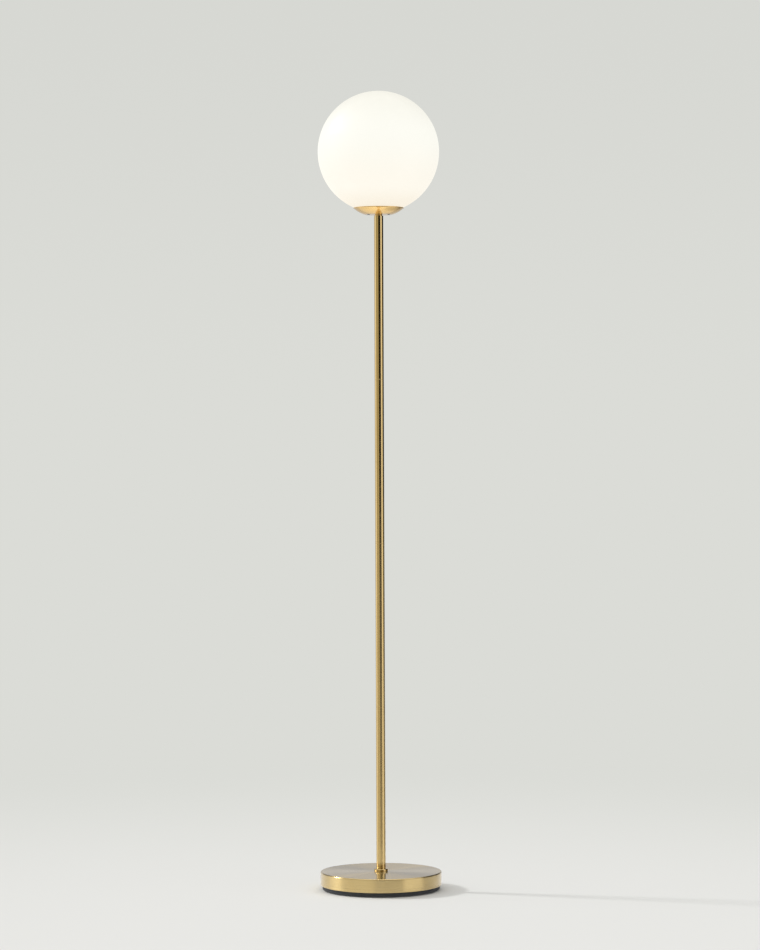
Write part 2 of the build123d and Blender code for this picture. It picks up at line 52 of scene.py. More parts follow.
Corner = tuple[float, ...]
Tree = bpy.types.NodeTree
Material = bpy.types.Material
Object = bpy.types.Object

MM = 0.001
FULL_TURN = 2 * math.pi
ON_AXIS = 1e-6  # a point nearer to the axis than this lies on it
HOLD = 0.15  # support rings this far from an edge keep flats flat under smooth shading
SHARP = math.radians(35)  # faces that turn more than this meet in a sharp edge
SMOOTH = {"interpolation_type": "SMOOTHSTEP"}
NOISE_SPAN = (0.3, 0.7)  # noise seldom leaves this span
FADE_TURNS = 0.6  # a thread comes in and runs out over this much of a turn
BOX_SIDES = [[0, 3, 2, 1], [4, 5, 6, 7], [0, 1, 5, 4], [1, 2, 6, 5], [2, 3, 7, 6], [3, 0, 4, 7]]
log = logging.getLogger("lamp")


class Body(Enum):
    """The bodies of the frame that a piece can ride on."""

    STAND = "stand"
    GLOBE = "globe"
    TIP = "bulb_tip"
    BULB = "bulb"


# ---------------------------------------------------------------- nodes and colours
def linear(colour: str) -> tuple[float, float, float, float]:
    """Turn an sRGB hex value to linear light.

    Args:
        colour: six hex digits after a hash.

    Returns:
        Red, green, blue and an alpha of one.
    """
    parts = [int(colour[i : i + 2], 16) / 255 for i in (1, 3, 5)]
    red, green, blue = (p / 12.92 if p <= 0.04045 else ((p + 0.055) / 1.055) ** 2.4 for p in parts)
    return red, green, blue, 1.0


def add(tree: Tree, kind: str, settings: dict | None = None, links: dict | None = None) -> Any:
    """Add a node with its settings and links.

    Args:
        tree: the node tree that gets it.
        kind: Blender's name for the node type.
        settings: attributes of the node, or values of its inputs, by name or number.
        links: what feeds each input, by its name or number: a socket, or a node for its first output.

    Returns:
        The new node.
    """
    node = tree.nodes.new(kind)
    for key, value in (settings or {}).items():
        if isinstance(key, int) or key in node.inputs:
            node.inputs[key].default_value = value
        else:
            setattr(node, key, value)
    for key, source in (links or {}).items():
        socket = source.outputs[0] if isinstance(source, bpy.types.Node) else source
        tree.links.new(socket, node.inputs[key])
    return node


def set_stops(node: Any, stops: Sequence[tuple[float, tuple[float, float, float, float]]]) -> None:
    """Give a colour ramp its stops.

    Args:
        node: the ramp.
        stops: place from 0 to 1, and colour of each stop.
    """
    elements = node.color_ramp.elements
    while len(elements) < len(stops):
        elements.new(0.5)
    for element, (where, _) in zip(elements, stops):
        element.position = where
    for element, (_, colour) in zip(elements, stops):
        element.color = colour


def mottle(tree: Tree, where: Any, grain: float, limits: tuple[float, float], detail: float) -> Any:
    """Spread noise over coordinates.

    Args:
        tree: the material's tree.
        where: node or socket with the coordinates.
        grain: size of one patch in mm.
        limits: least and largest value of the result.
        detail: octaves of finer noise.

    Returns:
        The node that holds the pattern.
    """
    look = {"Scale": 1 / (grain * MM), "Detail": detail}
    noise = add(tree, "ShaderNodeTexNoise", look, {"Vector": where})
    span = {"From Min": NOISE_SPAN[0], "From Max": NOISE_SPAN[1]}
    spread = span | {"To Min": limits[0], "To Max": limits[1]}
    return add(tree, "ShaderNodeMapRange", spread, {"Value": noise})


def speckle(tree: Tree, grain: float, limits: tuple[float, float] = (0.0, 1.0), detail: float = 3.0) -> Any:
    """Lay an even mottle over a surface.

    Args:
        tree: the material's tree.
        grain: size of one patch in mm.
        limits: least and largest value of the result.
        detail: octaves of finer mottle.

    Returns:
        The node that holds the pattern.
    """
    place_on = add(tree, "ShaderNodeTexCoord")
    return mottle(tree, place_on.outputs["Object"], grain, limits, detail)


def turning_lines(tree: Tree, pitch: float, limits: tuple[float, float] = (0.0, 1.0)) -> Any:
    """Draw the fine rings that a lathe or a brush leaves round the Z axis.

    Args:
        tree: the material's tree.
        pitch: spacing of the rings in mm.
        limits: least and largest value of the result.

    Returns:
        The node that holds the pattern.
    """
    place_on = add(tree, "ShaderNodeTexCoord")
    axes = add(tree, "ShaderNodeSeparateXYZ", None, {0: place_on.outputs["Object"]}).outputs
    flat = add(tree, "ShaderNodeCombineXYZ", None, {0: axes[0], 1: axes[1]})
    radius = add(tree, "ShaderNodeVectorMath", {"operation": "LENGTH"}, {0: flat})
    across = add(tree, "ShaderNodeCombineXYZ", None, {0: radius.outputs["Value"], 1: axes[2]})
    return mottle(tree, across, pitch, limits, 4.0)


def near(value: float, share: float) -> tuple[float, float]:
    """Give the limits that lie a share below and above a value."""
    return value * (1 - share), value * (1 + share)


def blank_material(name: str) -> tuple[Material, Tree]:
    """Make a material whose tree holds nothing yet.

    Args:
        name: the real finish that it is named for.

    Returns:
        The material and its tree.
    """
    material = bpy.data.materials.new(name)
    material.use_nodes = True
    material.node_tree.nodes.clear()
    return material, material.node_tree


# ---------------------------------------------------------------- finishes
@dataclass(frozen=True)
class Brass:
    """Brass sheet or tube, turned or polished, under a clear lacquer."""

    name: str
    colour: str
    shadow: str
    roughness: float
    spread: float  # anisotropy across the brushed lines
    line: float  # spacing of the lines in mm
    line_depth: float
    lacquer: float
    lacquer_ior: float
    blotch: float = 60.0  # size of the cloudy patches in mm
    darkening: float = 0.35
    relief: float = 0.4
    quarter: float = 0.25  # the lines run a quarter turn from the tangent
    lacquer_share: float = 0.5  # roughness of the lacquer, as a share of the metal's
    fine_share: float = 0.7  # spacing of the lines in the gloss, as a share of the others'

    @functools.cache
    def material(self) -> Material:
        """Build the metal with its brushed lines and its lacquer.

        Returns:
            The one material of this finish.
        """
        material, tree = blank_material(self.name)
        lines = turning_lines(tree, self.line)
        tarnish = speckle(tree, self.blotch, (0.0, self.darkening), 2.0)
        share = {"operation": "MULTIPLY_ADD", 1: self.darkening}
        amount = add(tree, "ShaderNodeMath", share, {0: lines, 2: tarnish})
        shades = {"data_type": "RGBA", 6: linear(self.colour), 7: linear(self.shadow)}
        colour = add(tree, "ShaderNodeMix", shades, {0: amount}).outputs[2]
        ridges = {"Strength": self.relief, "Distance": self.line_depth * MM}
        metal = {
            "Metallic": 1.0,
            "Anisotropic": self.spread,
            "Anisotropic Rotation": self.quarter,
            "Coat Weight": self.lacquer,
            "Coat Roughness": self.roughness * self.lacquer_share,
            "Coat IOR": self.lacquer_ior,
        }
        links = {
            "Base Color": colour,
            "Roughness": turning_lines(tree, self.line * self.fine_share, near(self.roughness, 0.15)),
            "Normal": add(tree, "ShaderNodeBump", ridges, {"Height": lines}),
            "Tangent": add(tree, "ShaderNodeTangent", {"direction_type": "RADIAL", "axis": "Z"}),
        }
        shader = add(tree, "ShaderNodeBsdfPrincipled", metal, links)
        add(tree, "ShaderNodeOutputMaterial", None, {0: shader})
        return material


@dataclass(frozen=True)
class Textured:
    """A surface of two close colours in patches, with a fine skin over them."""

    name: str
    colour: str
    patch: str
    roughness: float
    grain: float  # size of the surface's grain in mm
    depth: float  # depth of the grain in mm

    patches: ClassVar[tuple[float, float]]  # size of a patch in grains, and its detail
    gloss_change: ClassVar[tuple[float, float]]  # size in grains, and share of the roughness
    skin: ClassVar[tuple[float, float, float]]  # size in grains, detail and strength

    def body(self) -> dict[str, float]:
        """Give the values of the shader that are the same all over."""
        return {}

    @functools.cache
    def material(self) -> Material:
        """Build the surface with its patches and its skin.

        Returns:
            The one material of this finish.
        """
        material, tree = blank_material(self.name)
        patches = speckle(tree, self.grain * self.patches[0], detail=self.patches[1])
        shades = {"data_type": "RGBA", 6: linear(self.colour), 7: linear(self.patch)}
        colour = add(tree, "ShaderNodeMix", shades, {0: patches}).outputs[2]
        size, change = self.gloss_change
        skin = speckle(tree, self.grain * self.skin[0], detail=self.skin[1])
        relief = {"Strength": self.skin[2], "Distance": self.depth * MM}
        links = {
            "Base Color": colour,
            "Roughness": speckle(tree, self.grain * size, near(self.roughness, change)),
            "Normal": add(tree, "ShaderNodeBump", relief, {"Height": skin}),
        }
        shader = add(tree, "ShaderNodeBsdfPrincipled", self.body(), links)
        add(tree, "ShaderNodeOutputMaterial", None, {0: shader})
        return material


@dataclass(frozen=True)
class PlainMetal(Textured):
    """Small steel and brass parts, rolled, pressed or cast, some of them plated."""

    metallic: float = 1.0

    patches: ClassVar[tuple[float, float]] = (1.0, 3.0)
    gloss_change: ClassVar[tuple[float, float]] = (3.0, 0.2)
    skin: ClassVar[tuple[float, float, float]] = (0.3, 3.0, 0.5)

    def body(self) -> dict[str, float]:
        """Give the metal's share."""
        return {"Metallic": self.metallic}


@dataclass(frozen=True)
class Moulded(Textured):
    """Moulded plastic, rubber or glazed ceramic."""

    ior: float = 1.53
    gloss: float = 0.0
    clear: float = 0.0

    patches: ClassVar[tuple[float, float]] = (25.0, 2.0)
    gloss_change: ClassVar[tuple[float, float]] = (8.0, 0.15)
    skin: ClassVar[tuple[float, float, float]] = (1.0, 1.0, 0.6)

    def body(self) -> dict[str, float]:
        """Give the refraction, the glaze and the clearness."""
        return {"IOR": self.ior, "Coat Weight": self.gloss, "Transmission Weight": self.clear}


@dataclass(frozen=True)
class Luminous:
    """Opal glass or frosted plastic that is lit from behind."""

    name: str
    body: str
    glow: tuple[tuple[float, str], ...]  # colour of the glow by height in mm
    strength: float
    roughness: float
    coat: float
    clear: float  # share of light that goes through without being spread wide
    blotch: float = 40.0
    dimple: float = 14.0
    dimple_depth: float = 0.02
    relief: float = 0.15
    gloss_patch: float = 25.0
    ior: float = 1.5
    coat_roughness: float = 0.3
    shade: tuple[float, float, float, float] = (0.96, 0.96, 0.95, 1.0)

    @functools.cache
    def material(self) -> Material:
        """Build the white body, its glow and the clear skin over them.

        Returns:
            The one material of this finish.
        """
        material, tree = blank_material(self.name)
        place_on = add(tree, "ShaderNodeTexCoord")
        axes = add(tree, "ShaderNodeSeparateXYZ", None, {0: place_on.outputs["Object"]}).outputs
        low, high = self.glow[0][0], self.glow[-1][0]
        reach = {"From Min": low * MM, "From Max": high * MM}
        rise = add(tree, "ShaderNodeMapRange", reach, {"Value": axes[2]})
        glow = add(tree, "ShaderNodeValToRGB", None, {0: rise})
        glow.color_ramp.interpolation = "EASE"
        set_stops(glow, [((height - low) / (high - low), linear(colour)) for height, colour in self.glow])
        white = linear(self.body)
        shades = {"data_type": "RGBA", 6: white, 7: [p * q for p, q in zip(white, self.shade)]}
        patches = speckle(tree, self.blotch, detail=2.0)
        colour = add(tree, "ShaderNodeMix", shades, {0: patches}).outputs[2]
        skin = speckle(tree, self.dimple, detail=1.0)
        relief = {"Strength": self.relief, "Distance": self.dimple_depth * MM}
        glass = {
            "Emission Strength": self.strength,
            "Transmission Weight": self.clear,
            "IOR": self.ior,
            "Coat Weight": self.coat,
            "Coat Roughness": self.coat_roughness,
        }
        links = {
            "Base Color": colour,
            "Emission Color": glow,
            "Roughness": speckle(tree, self.gloss_patch, near(self.roughness, 0.1)),
            "Normal": add(tree, "ShaderNodeBump", relief, {"Height": skin}),
        }
        shader = add(tree, "ShaderNodeBsdfPrincipled", glass, links)
        add(tree, "ShaderNodeOutputMaterial", None, {0: shader})
        return material


# Spun sheet, brushed in rings on the lathe: soft, wide reflections drawn out across the lines.
COVER_BRASS = Brass(
    "brass_spun_ring_brushed_lacquered", "#E8CD8E", "#DFC07E",
    roughness=0.30, spread=0.85, line=1.6, line_depth=0.02, lacquer=1.0, lacquer_ior=1.6,
)
# Drawn tube, buffed: near-mirror stripes of the studio along its length.
TUBE_BRASS = Brass(
    "brass_drawn_tube_buffed_lacquered", "#E8CB8E", "#DFBE80",
    roughness=0.11, spread=0.60, line=0.9, line_depth=0.004, lacquer=0.25, lacquer_ior=1.5,
)
# Spun dish, polished: warm, bright, with a soft edge to each reflection.
DISH_BRASS = Brass(
    "brass_spun_dish_polished_lacquered", "#F0CB88", "#E6BE78",
    roughness=0.16, spread=0.45, line=1.1, line_depth=0.008, lacquer=0.25, lacquer_ior=1.5,
)
# The small metal and moulded finishes give, after two colours: roughness, and size and depth of grain.
# Grey iron as cast, dipped in primer: dull and slightly pitted.
IRON = PlainMetal("cast_iron_dark_primer", "#3A3A3C", "#2C2C2E", 0.62, 2.5, 0.25, metallic=0.3)
# Steel with a thin zinc plate: cool grey with faint cloudy patches.
ZINC = PlainMetal("steel_bright_zinc_plate", "#C4C6C8", "#AEB0B4", 0.28, 4.0, 0.01)
# Spring strip as rolled: darker and satin.
SPRING = PlainMetal("spring_steel_rolled_satin", "#B4B3B0", "#9E9D9A", 0.34, 6.0, 0.01)
# Pressed brass contacts, bare: yellow, with dull spots.
CONTACT = PlainMetal("brass_pressed_bare", "#D9BD6E", "#B99A52", 0.30, 3.0, 0.01)
# Rolled screw cap, nickel bright: warm grey mirror.
NICKEL = PlainMetal("brass_rolled_nickel_bright", "#CFCBC2", "#BDB8AE", 0.22, 5.0, 0.008)
# Aluminium board under white solder mask: even, satin white.
BOARD = PlainMetal("aluminium_white_solder_mask", "#EDECE6", "#E4E3DC", 0.42, 3.0, 0.01, metallic=0.0)
# Moulded tray with a spark-eroded skin: deep grey without a clear highlight.
TRAY_PLASTIC = Moulded("abs_moulded_spark_texture_black", "#34363A", "#2C2F33", 0.58, 0.5, 0.06)
# Pads of soft rubber: matt black.
PAD_RUBBER = Moulded("rubber_moulded_matt_black", "#232323", "#1C1C1C", 0.85, 0.6, 0.05, ior=1.50)
# Nylon bush: black with a slight sheen.
BUSH_NYLON = Moulded("nylon_moulded_black", "#262627", "#202021", 0.45, 0.4, 0.02)
# Connector block: milky, slightly see-through plastic.
BLOCK_PLASTIC = Moulded("polyamide_moulded_milky", "#DADAD2", "#D0D0C7", 0.48, 0.4, 0.02)
# Lampholder in white thermoset: smooth and glossy.
HOLDER_PLASTIC = Moulded(
    "thermoset_moulded_gloss_white", "#EBE8DF", "#E4E1D7", 0.30, 0.5, 0.01, ior=1.55, gloss=0.4
)
# Porcelain under a clear glaze: white, with a sharp highlight.
PORCELAIN = Moulded("porcelain_glazed_white", "#EDEBE2", "#E2DFD3", 0.35, 0.8, 0.02, ior=1.50, gloss=0.9)
# Silicone ring, clear and satin: it takes the colour of what it lies on.
SILICONE = Moulded("silicone_clear_satin", "#E4E2DA", "#DCDAD1", 0.35, 0.8, 0.01, ior=1.41, clear=0.7)
# Flex sheath, extruded: satin white.
SHEATH = Moulded("pvc_sheath_extruded_white", "#E2E1DA", "#D8D7D0", 0.50, 0.5, 0.01)
# Bulb housing in white plastic over aluminium: satin.
HOUSING = Moulded("pbt_moulded_satin_white", "#F0EFEA", "#E8E7E1", 0.38, 0.5, 0.01, ior=1.57)
# Black glass under the bulb's cap: fused, glossy.
BLACK_GLASS = Moulded("glass_fused_black", "#141417", "#0E0E10", 0.12, 0.8, 0.02, ior=1.52, gloss=0.8)
# Phosphor gel on the chips: yellow and dull.
PHOSPHOR = Moulded("silicone_phosphor_yellow", "#E8C44A", "#DDB63E", 0.55, 0.5, 0.01, ior=1.41)
# Blown opal glass, lit: white all over, a little warmer and dimmer at its top and bottom.
OPAL_GLOW = ((1396.0, "#F6ECDA"), (1450.0, "#FFFAEE"), (1550.0, "#FFFEF5"), (1646.5, "#F4F2E7"))
OPAL = Luminous(
    "glass_blown_opal_lit", "#323231", OPAL_GLOW, strength=0.91, roughness=0.60, coat=0.10, clear=0.30
)
# Frosted diffuser of the bulb, lit: brighter than the glass round it.
DOME_GLOW = ((1495.0, "#FFEFD4"), (1536.0, "#FFFFFA"))
DIFFUSER = Luminous(
    "polycarbonate_frosted_lit", "#DCDAD2", DOME_GLOW, strength=3.0, roughness=0.45, coat=0.1, clear=0.0
)


# ---------------------------------------------------------------- outlines and meshes
def rounded(corners: Sequence[Corner], steps: int) -> Outline:
    """Turn a closed outline's corners to points, with arcs at its rounded corners.

    Args:
        corners: radius, height and, where it is rounded, rounding of each corner.
        steps: points along each arc, less one.

    Returns:
        The outline's points, with support points beside each edge of a long side.
    """
    points: Outline = []
    for index, (r, z, *edge) in enumerate(corners):
        if not edge:
            points.append((r, z))
            continue
        here = complex(r, z)
        back = complex(*corners[index - 1][:2]) - here
        ahead = complex(*corners[(index + 1) % len(corners)][:2]) - here
        back, ahead = back / abs(back), ahead / abs(ahead)
        turn = math.acos(max(-1, min(1, (back * ahead.conjugate()).real)))
        halfway = (back + ahead) / abs(back + ahead)
        centre = here + halfway * edge[0] / math.sin(turn / 2)
        reach = edge[0] / math.tan(turn / 2)
        low, high = (cmath.phase(here + side * reach - centre) for side in (back, ahead))
        swing = (high - low + math.pi) % FULL_TURN - math.pi
        for step in range(steps + 1):
            point = centre + cmath.rect(edge[0], low + swing * step / steps)
            points.append((point.real, point.imag))
    return held(points)


def held(points: Outline) -> Outline:
    """Add a support point beside both ends of each long side of a closed outline.

    Args:
        points: the outline.

    Returns:
        The outline with the added points.
    """
    result: Outline = []
    for (r, z), (r2, z2) in zip(points, points[1:] + points[:1]):
        length = math.hypot(r2 - r, z2 - z)
        result.append((r, z))
        if length > 6 * HOLD:
            for share in (HOLD / length, 1 - HOLD / length):
                result.append((r + (r2 - r) * share, z + (z2 - z) * share))
    return result


def divided(points: Outline, step: float, low: float, high: float) -> Outline:
    """Cut the sides that lie between two heights into short ones.

    Args:
        points: the closed outline.
        step: longest side that is left, in mm.
        low: lower height.
        high: upper height.

    Returns:
        The outline with the added points.
    """
    result: Outline = []
    for (r, z), (r2, z2) in zip(points, points[1:] + points[:1]):
        result.append((r, z))
        if min(z, z2) >= low - HOLD and max(z, z2) <= high + HOLD:
            parts = max(1, math.ceil(abs(z2 - z) / step))
            for part in range(1, parts):
                result.append((r + (r2 - r) * part / parts, z + (z2 - z) * part / parts))
    return result


def dome(radius: float, centre: float, start: float, steps: int) -> Outline:
    """Give points up a sphere to its top.

    Args:
        radius: the sphere's radius.
        centre: height of its centre.
        start: height of the first point over the centre.
        steps: number of steps to the top.

    Returns:
        The points, the last of them on the axis.
    """
    low = math.asin(start / radius)
    angles = [low + (math.pi / 2 - low) * step / steps for step in range(steps)]
    side = [(radius * math.cos(a), centre + radius * math.sin(a)) for a in angles]
    return side + [(0.0, centre + radius)]


def raised(foot: float, *corners: Corner) -> list[Corner]:
    """Raise corners whose heights are given from a foot."""
    return [(c[0], foot + c[1], *c[2:]) for c in corners]


def link(name: str, verts: list, faces: list, material: Material) -> Object:
    """Make a smooth-shaded mesh object with sharp edges where its faces turn.

    Args:
        name: the piece's name.
        verts: corners in mm.
        faces: corners of each face, by number.
        material: the piece's finish.

    Returns:
        The object.
    """
    mesh = bpy.data.meshes.new(name)
    mesh.from_pydata([(x * MM, y * MM, z * MM) for x, y, z in verts], [], faces)
    mesh.materials.append(material)
    return shown(name, mesh)


def shown(name: str, mesh: bpy.types.Mesh) -> Object:
    """Put a mesh into the scene, smooth but for its sharp edges.

    Args:
        name: the object's name.
        mesh: its mesh.

    Returns:
        The object.
    """
    mesh.shade_smooth()
    mesh.set_sharp_from_angle(angle=SHARP)
    piece = bpy.data.objects.new(name, mesh)
    bpy.context.scene.collection.objects.link(piece)
    return piece


def lathe(name: str, outline: Outline, turns: int, material: Material) -> Object:
    """Turn a closed outline round the Z axis.

    Args:
        name: the piece's name.
        outline: points of radius and height, on or beside the axis.
        turns: number of steps round the axis.
        material: the piece's finish.

    Returns:
        The piece, with its faces outwards.
    """
    area = sum(a[0] * b[1] - b[0] * a[1] for a, b in zip(outline, outline[1:] + outline[:1]))
    verts: list[tuple[float, float, float]] = []
    rings: list[list[int]] = []
    for r, z in outline if area > 0 else outline[::-1]:
        if r < ON_AXIS:
            rings.append([len(verts)] * turns)
            verts.append((0.0, 0.0, z))
            continue
        rings.append(list(range(len(verts), len(verts) + turns)))
        angles = [FULL_TURN * step / turns for step in range(turns)]
        verts += [(r * math.cos(angle), r * math.sin(angle), z) for angle in angles]
    faces: list[list[int]] = []
    for low, high in zip(rings, rings[1:] + rings[:1]):
        for step in range(turns):
            ahead = (step + 1) % turns
            face = list(dict.fromkeys([low[step], low[ahead], high[ahead], high[step]]))
            if len(face) > 2:
                faces.append(face)
    return link(name, verts, faces, material)


def bake(piece: Object) -> Object:
    """Turn a piece and its modifiers into a plain mesh.

    Args:
        piece: an object with live modifiers.

    Returns:
        A new object of the same name, with no modifier.
    """
    bpy.context.view_layer.update()
    graph = bpy.context.evaluated_depsgraph_get()
    mesh = bpy.data.meshes.new_from_object(piece.evaluated_get(graph), depsgraph=graph)
    name, old = piece.name, piece.data
    bpy.data.objects.remove(piece)
    bpy.data.meshes.remove(old)
    mesh.name = name
    return shown(name, mesh)


def cut(piece: Object, *tools: Object) -> Object:
    """Cut other shapes out of a piece, and remove them.

    Args:
        piece: what is cut.
        tools: the shapes.

    Returns:
        The cut piece as a plain mesh.
    """
    for tool in tools:
        modifier = piece.modifiers.new("cut", "BOOLEAN")
        modifier.operation = "DIFFERENCE"
        modifier.solver = "EXACT"
        modifier.object = tool
    result = bake(piece)
    for tool in tools:
        bpy.data.objects.remove(tool)
    return result


def place(piece: Object, body: Body, slot: str, *nodes: str) -> None:
    """Let a finished piece ride on a body, in the place of CAD nodes.

    Args:
        piece: the finished piece.
        body: what it moves with.
        slot: the record's material slot; not used.
        nodes: the CAD nodes that it stands for.
    """
    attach(piece, body.value)
    if nodes:
        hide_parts(*nodes)
    log.info("%s: %d faces on %s", piece.name, len(piece.data.polygons), body.value)


# ---------------------------------------------------------------- geometry nodes
class PieceTree:
    """Geometry Nodes tree that shapes a piece by named sizes and gives it its finish."""

    def __init__(self, name: str, sizes: Sequence[str], counts: Sequence[str] = ()) -> None:
        """Build the tree once, for every piece that it shapes.

        Args:
            name: the tree's name.
            sizes: names of the inputs that are sizes or angles.
            counts: names of the inputs that are counts.
        """
        self.tree = bpy.data.node_groups.new(name, "GeometryNodeTree")
        face = self.tree.interface
        for way in ("INPUT", "OUTPUT"):
            face.new_socket("Geometry", in_out=way, socket_type="NodeSocketGeometry")
        kinds = dict.fromkeys(counts, "Int") | dict.fromkeys(sizes, "Float") | {"Finish": "Material"}
        self.inputs = {
            label: face.new_socket(label, in_out="INPUT", socket_type=f"NodeSocket{kind}").identifier
            for label, kind in kinds.items()
        }
        given = add(self.tree, "NodeGroupInput").outputs
        real = add(self.tree, "GeometryNodeRealizeInstances", None, {0: self.shape(given)})
        links = {"Geometry": real, "Material": given["Finish"]}
        painted = add(self.tree, "GeometryNodeSetMaterial", None, links)
        add(self.tree, "NodeGroupOutput", None, {0: painted})

    def shape(self, given: Any) -> Any:
        """Give the node or socket with the shape, which each kind of tree makes its own way."""
        return given["Geometry"]

    def run(self, piece: Object, values: dict[str, float]) -> Object:
        """Shape a piece.

        Args:
            piece: the object, with its finish.
            values: value of each input but the finish, by name.

        Returns:
            The shaped piece as a plain mesh.
        """
        modifier = piece.modifiers.new(self.tree.name, "NODES")
        modifier.node_group = self.tree
        for label, value in values.items():
            modifier[self.inputs[label]] = value
        modifier[self.inputs["Finish"]] = piece.data.materials[0]
        return bake(piece)


class Repeat(PieceTree):
    """Tree that sets copies of a piece evenly round the Z axis."""

    def __init__(self) -> None:
        """Build the tree."""
        super().__init__("ring_of_pieces", ("Ring radius", "First angle"), ("Count",))

    def shape(self, given: Any) -> Any:
        """Set the copies.

        Args:
            given: the tree's inputs.

        Returns:
            The node with the copies.
        """
        tree = self.tree
        out_by = add(tree, "ShaderNodeCombineXYZ", None, {0: given["Ring radius"]})
        links = {"Geometry": given["Geometry"], "Translation": out_by}
        moved = add(tree, "GeometryNodeTransform", None, links)
        points = add(tree, "GeometryNodePoints", None, {"Count": given["Count"]})
        index = add(tree, "GeometryNodeInputIndex")
        share = add(tree, "ShaderNodeMath", {"operation": "DIVIDE"}, {0: index, 1: given["Count"]})
        swing = {"operation": "MULTIPLY_ADD", 1: FULL_TURN}
        angle = add(tree, "ShaderNodeMath", swing, {0: share, 2: given["First angle"]})
        turn = add(tree, "ShaderNodeCombineXYZ", None, {2: angle})
        links = {"Points": points, "Instance": moved, "Rotation": turn}
        return add(tree, "GeometryNodeInstanceOnPoints", None, links)

    def around(self, piece: Object, count: int, ring: float, first: float) -> Object:
        """Repeat a piece round the Z axis.

        Args:
            piece: one copy, drawn on the Z axis.
            count: number of copies.
            ring: radius of the ring in mm.
            first: angle of the first copy from +X in degrees.

        Returns:
            One plain mesh with all the copies.
        """
        values = {"Count": count, "Ring radius": ring * MM, "First angle": math.radians(first)}
        return self.run(piece, values)


class RolledThread(PieceTree):
    """Tree that rolls a round screw thread into a turned wall."""

    def __init__(self) -> None:
        """Build the tree."""
        super().__init__("rolled_thread", ("Ridge", "Pitch", "Low", "High", "Fade"))

    def shape(self, given: Any) -> Any:
        """Push the wall in and out along a helix, and fade that out at both ends.

        Args:
            given: the tree's inputs.

        Returns:
            The node with the threaded wall.
        """
        tree = self.tree
        where = add(tree, "GeometryNodeInputPosition")
        axes = add(tree, "ShaderNodeSeparateXYZ", None, {0: where}).outputs
        angle = add(tree, "ShaderNodeMath", {"operation": "ARCTAN2"}, {0: axes[1], 1: axes[0]})
        turns = add(tree, "ShaderNodeMath", {"operation": "DIVIDE"}, {0: axes[2], 1: given["Pitch"]})
        climb = add(tree, "ShaderNodeMath", {"operation": "MULTIPLY", 1: FULL_TURN}, {0: turns})
        phase = add(tree, "ShaderNodeMath", {"operation": "SUBTRACT"}, {0: climb, 1: angle})
        shift = add(tree, "ShaderNodeMath", {"operation": "COSINE"}, {0: phase})
        factors = [given["Ridge"]]
        for end, inward in (("Low", "ADD"), ("High", "SUBTRACT")):
            full = add(tree, "ShaderNodeMath", {"operation": inward}, {0: given[end], 1: given["Fade"]})
            reach = {"Value": axes[2], "From Min": given[end], "From Max": full}
            factors.append(add(tree, "ShaderNodeMapRange", SMOOTH, reach))
        for factor in factors:
            shift = add(tree, "ShaderNodeMath", {"operation": "MULTIPLY"}, {0: shift, 1: factor})
        level = add(tree, "ShaderNodeCombineXYZ", None, {0: axes[0], 1: axes[1]})
        outward = add(tree, "ShaderNodeVectorMath", {"operation": "NORMALIZE"}, {0: level})
        offset = add(tree, "ShaderNodeVectorMath", {"operation": "SCALE"}, {0: outward, "Scale": shift})
        links = {"Geometry": given["Geometry"], "Offset": offset}
        return add(tree, "GeometryNodeSetPosition", None, links)

    def roll(self, piece: Object, ridge: float, pitch: float, low: float, high: float) -> Object:
        """Roll the thread into a piece.

        Args:
            piece: a turned wall, cut fine enough along its height.
            ridge: half the depth of the thread in mm.
            pitch: rise of one turn in mm.
            low: height where the thread begins in mm.
            high: height where it ends in mm.

        Returns:
            The piece as a plain mesh.
        """
        sizes = {"Ridge": ridge, "Pitch": pitch, "Low": low, "High": high, "Fade": pitch * FADE_TURNS}
        return self.run(piece, {label: size * MM for label, size in sizes.items()})


# ---------------------------------------------------------------- the lamp
@dataclass
class Base:
    """Spun brass cover over a cast-iron weight, on a moulded tray with rubber pads."""

    radius: float = 125.0
    top: float = 38.0
    low: float = 10.0
    wall: float = 1.2
    top_edge: float = 2.2
    low_edge: float = 1.1
    lip: float = 3.5
    bore: float = 5.2
    inlet_z: float = 17.0
    inlet_r: float = 4.2
    drill_reach: float = 8.0
    pad_r: float = 7.0
    pad_h: float = 2.5
    pad_edge: float = 0.8
    pad_ring: float = 100.0
    pad_first: float = 45.0
    pads: int = 4

    def build(self, repeat: Repeat) -> None:
        """Build the cover, with the hole for the cable's bush, and the pads.

        Args:
            repeat: the tree that sets the pads.
        """
        inner = self.radius - self.wall
        outline = rounded(
            [
                (self.bore, self.top - self.wall),
                (inner, self.top - self.wall),
                (inner, self.low + self.wall),
                (self.radius - self.lip, self.low + self.wall),
                (self.radius - self.lip, self.low),
                (self.radius, self.low, self.low_edge),
                (self.radius, self.top, self.top_edge),
                (self.bore, self.top),
            ],
            steps=8,
        )
        brass = COVER_BRASS.material()
        cover = lathe("base_cover_spun", outline, 256, brass)
        ends = (-self.drill_reach, self.drill_reach)
        bit = [(0, ends[0]), (self.inlet_r, ends[0]), (self.inlet_r, ends[1]), (0, ends[1])]
        drill = lathe("inlet_drill", bit, 32, brass)
        drill.rotation_euler = Euler((math.pi / 2, 0, 0))
        drill.location = (0, self.radius * MM, self.inlet_z * MM)
        place(cut(cover, drill), Body.STAND, "brass", "base_cover")

        corners = [(0, 0), (self.pad_r, 0, self.pad_edge), (self.pad_r, self.pad_h), (0, self.pad_h)]
        pad = lathe("foot_pads_rubber", rounded(corners, steps=4), 48, PAD_RUBBER.material())
        pads = repeat.around(pad, self.pads, self.pad_ring, self.pad_first)
        place(pads, Body.STAND, "rubber_black", "foot_pads")


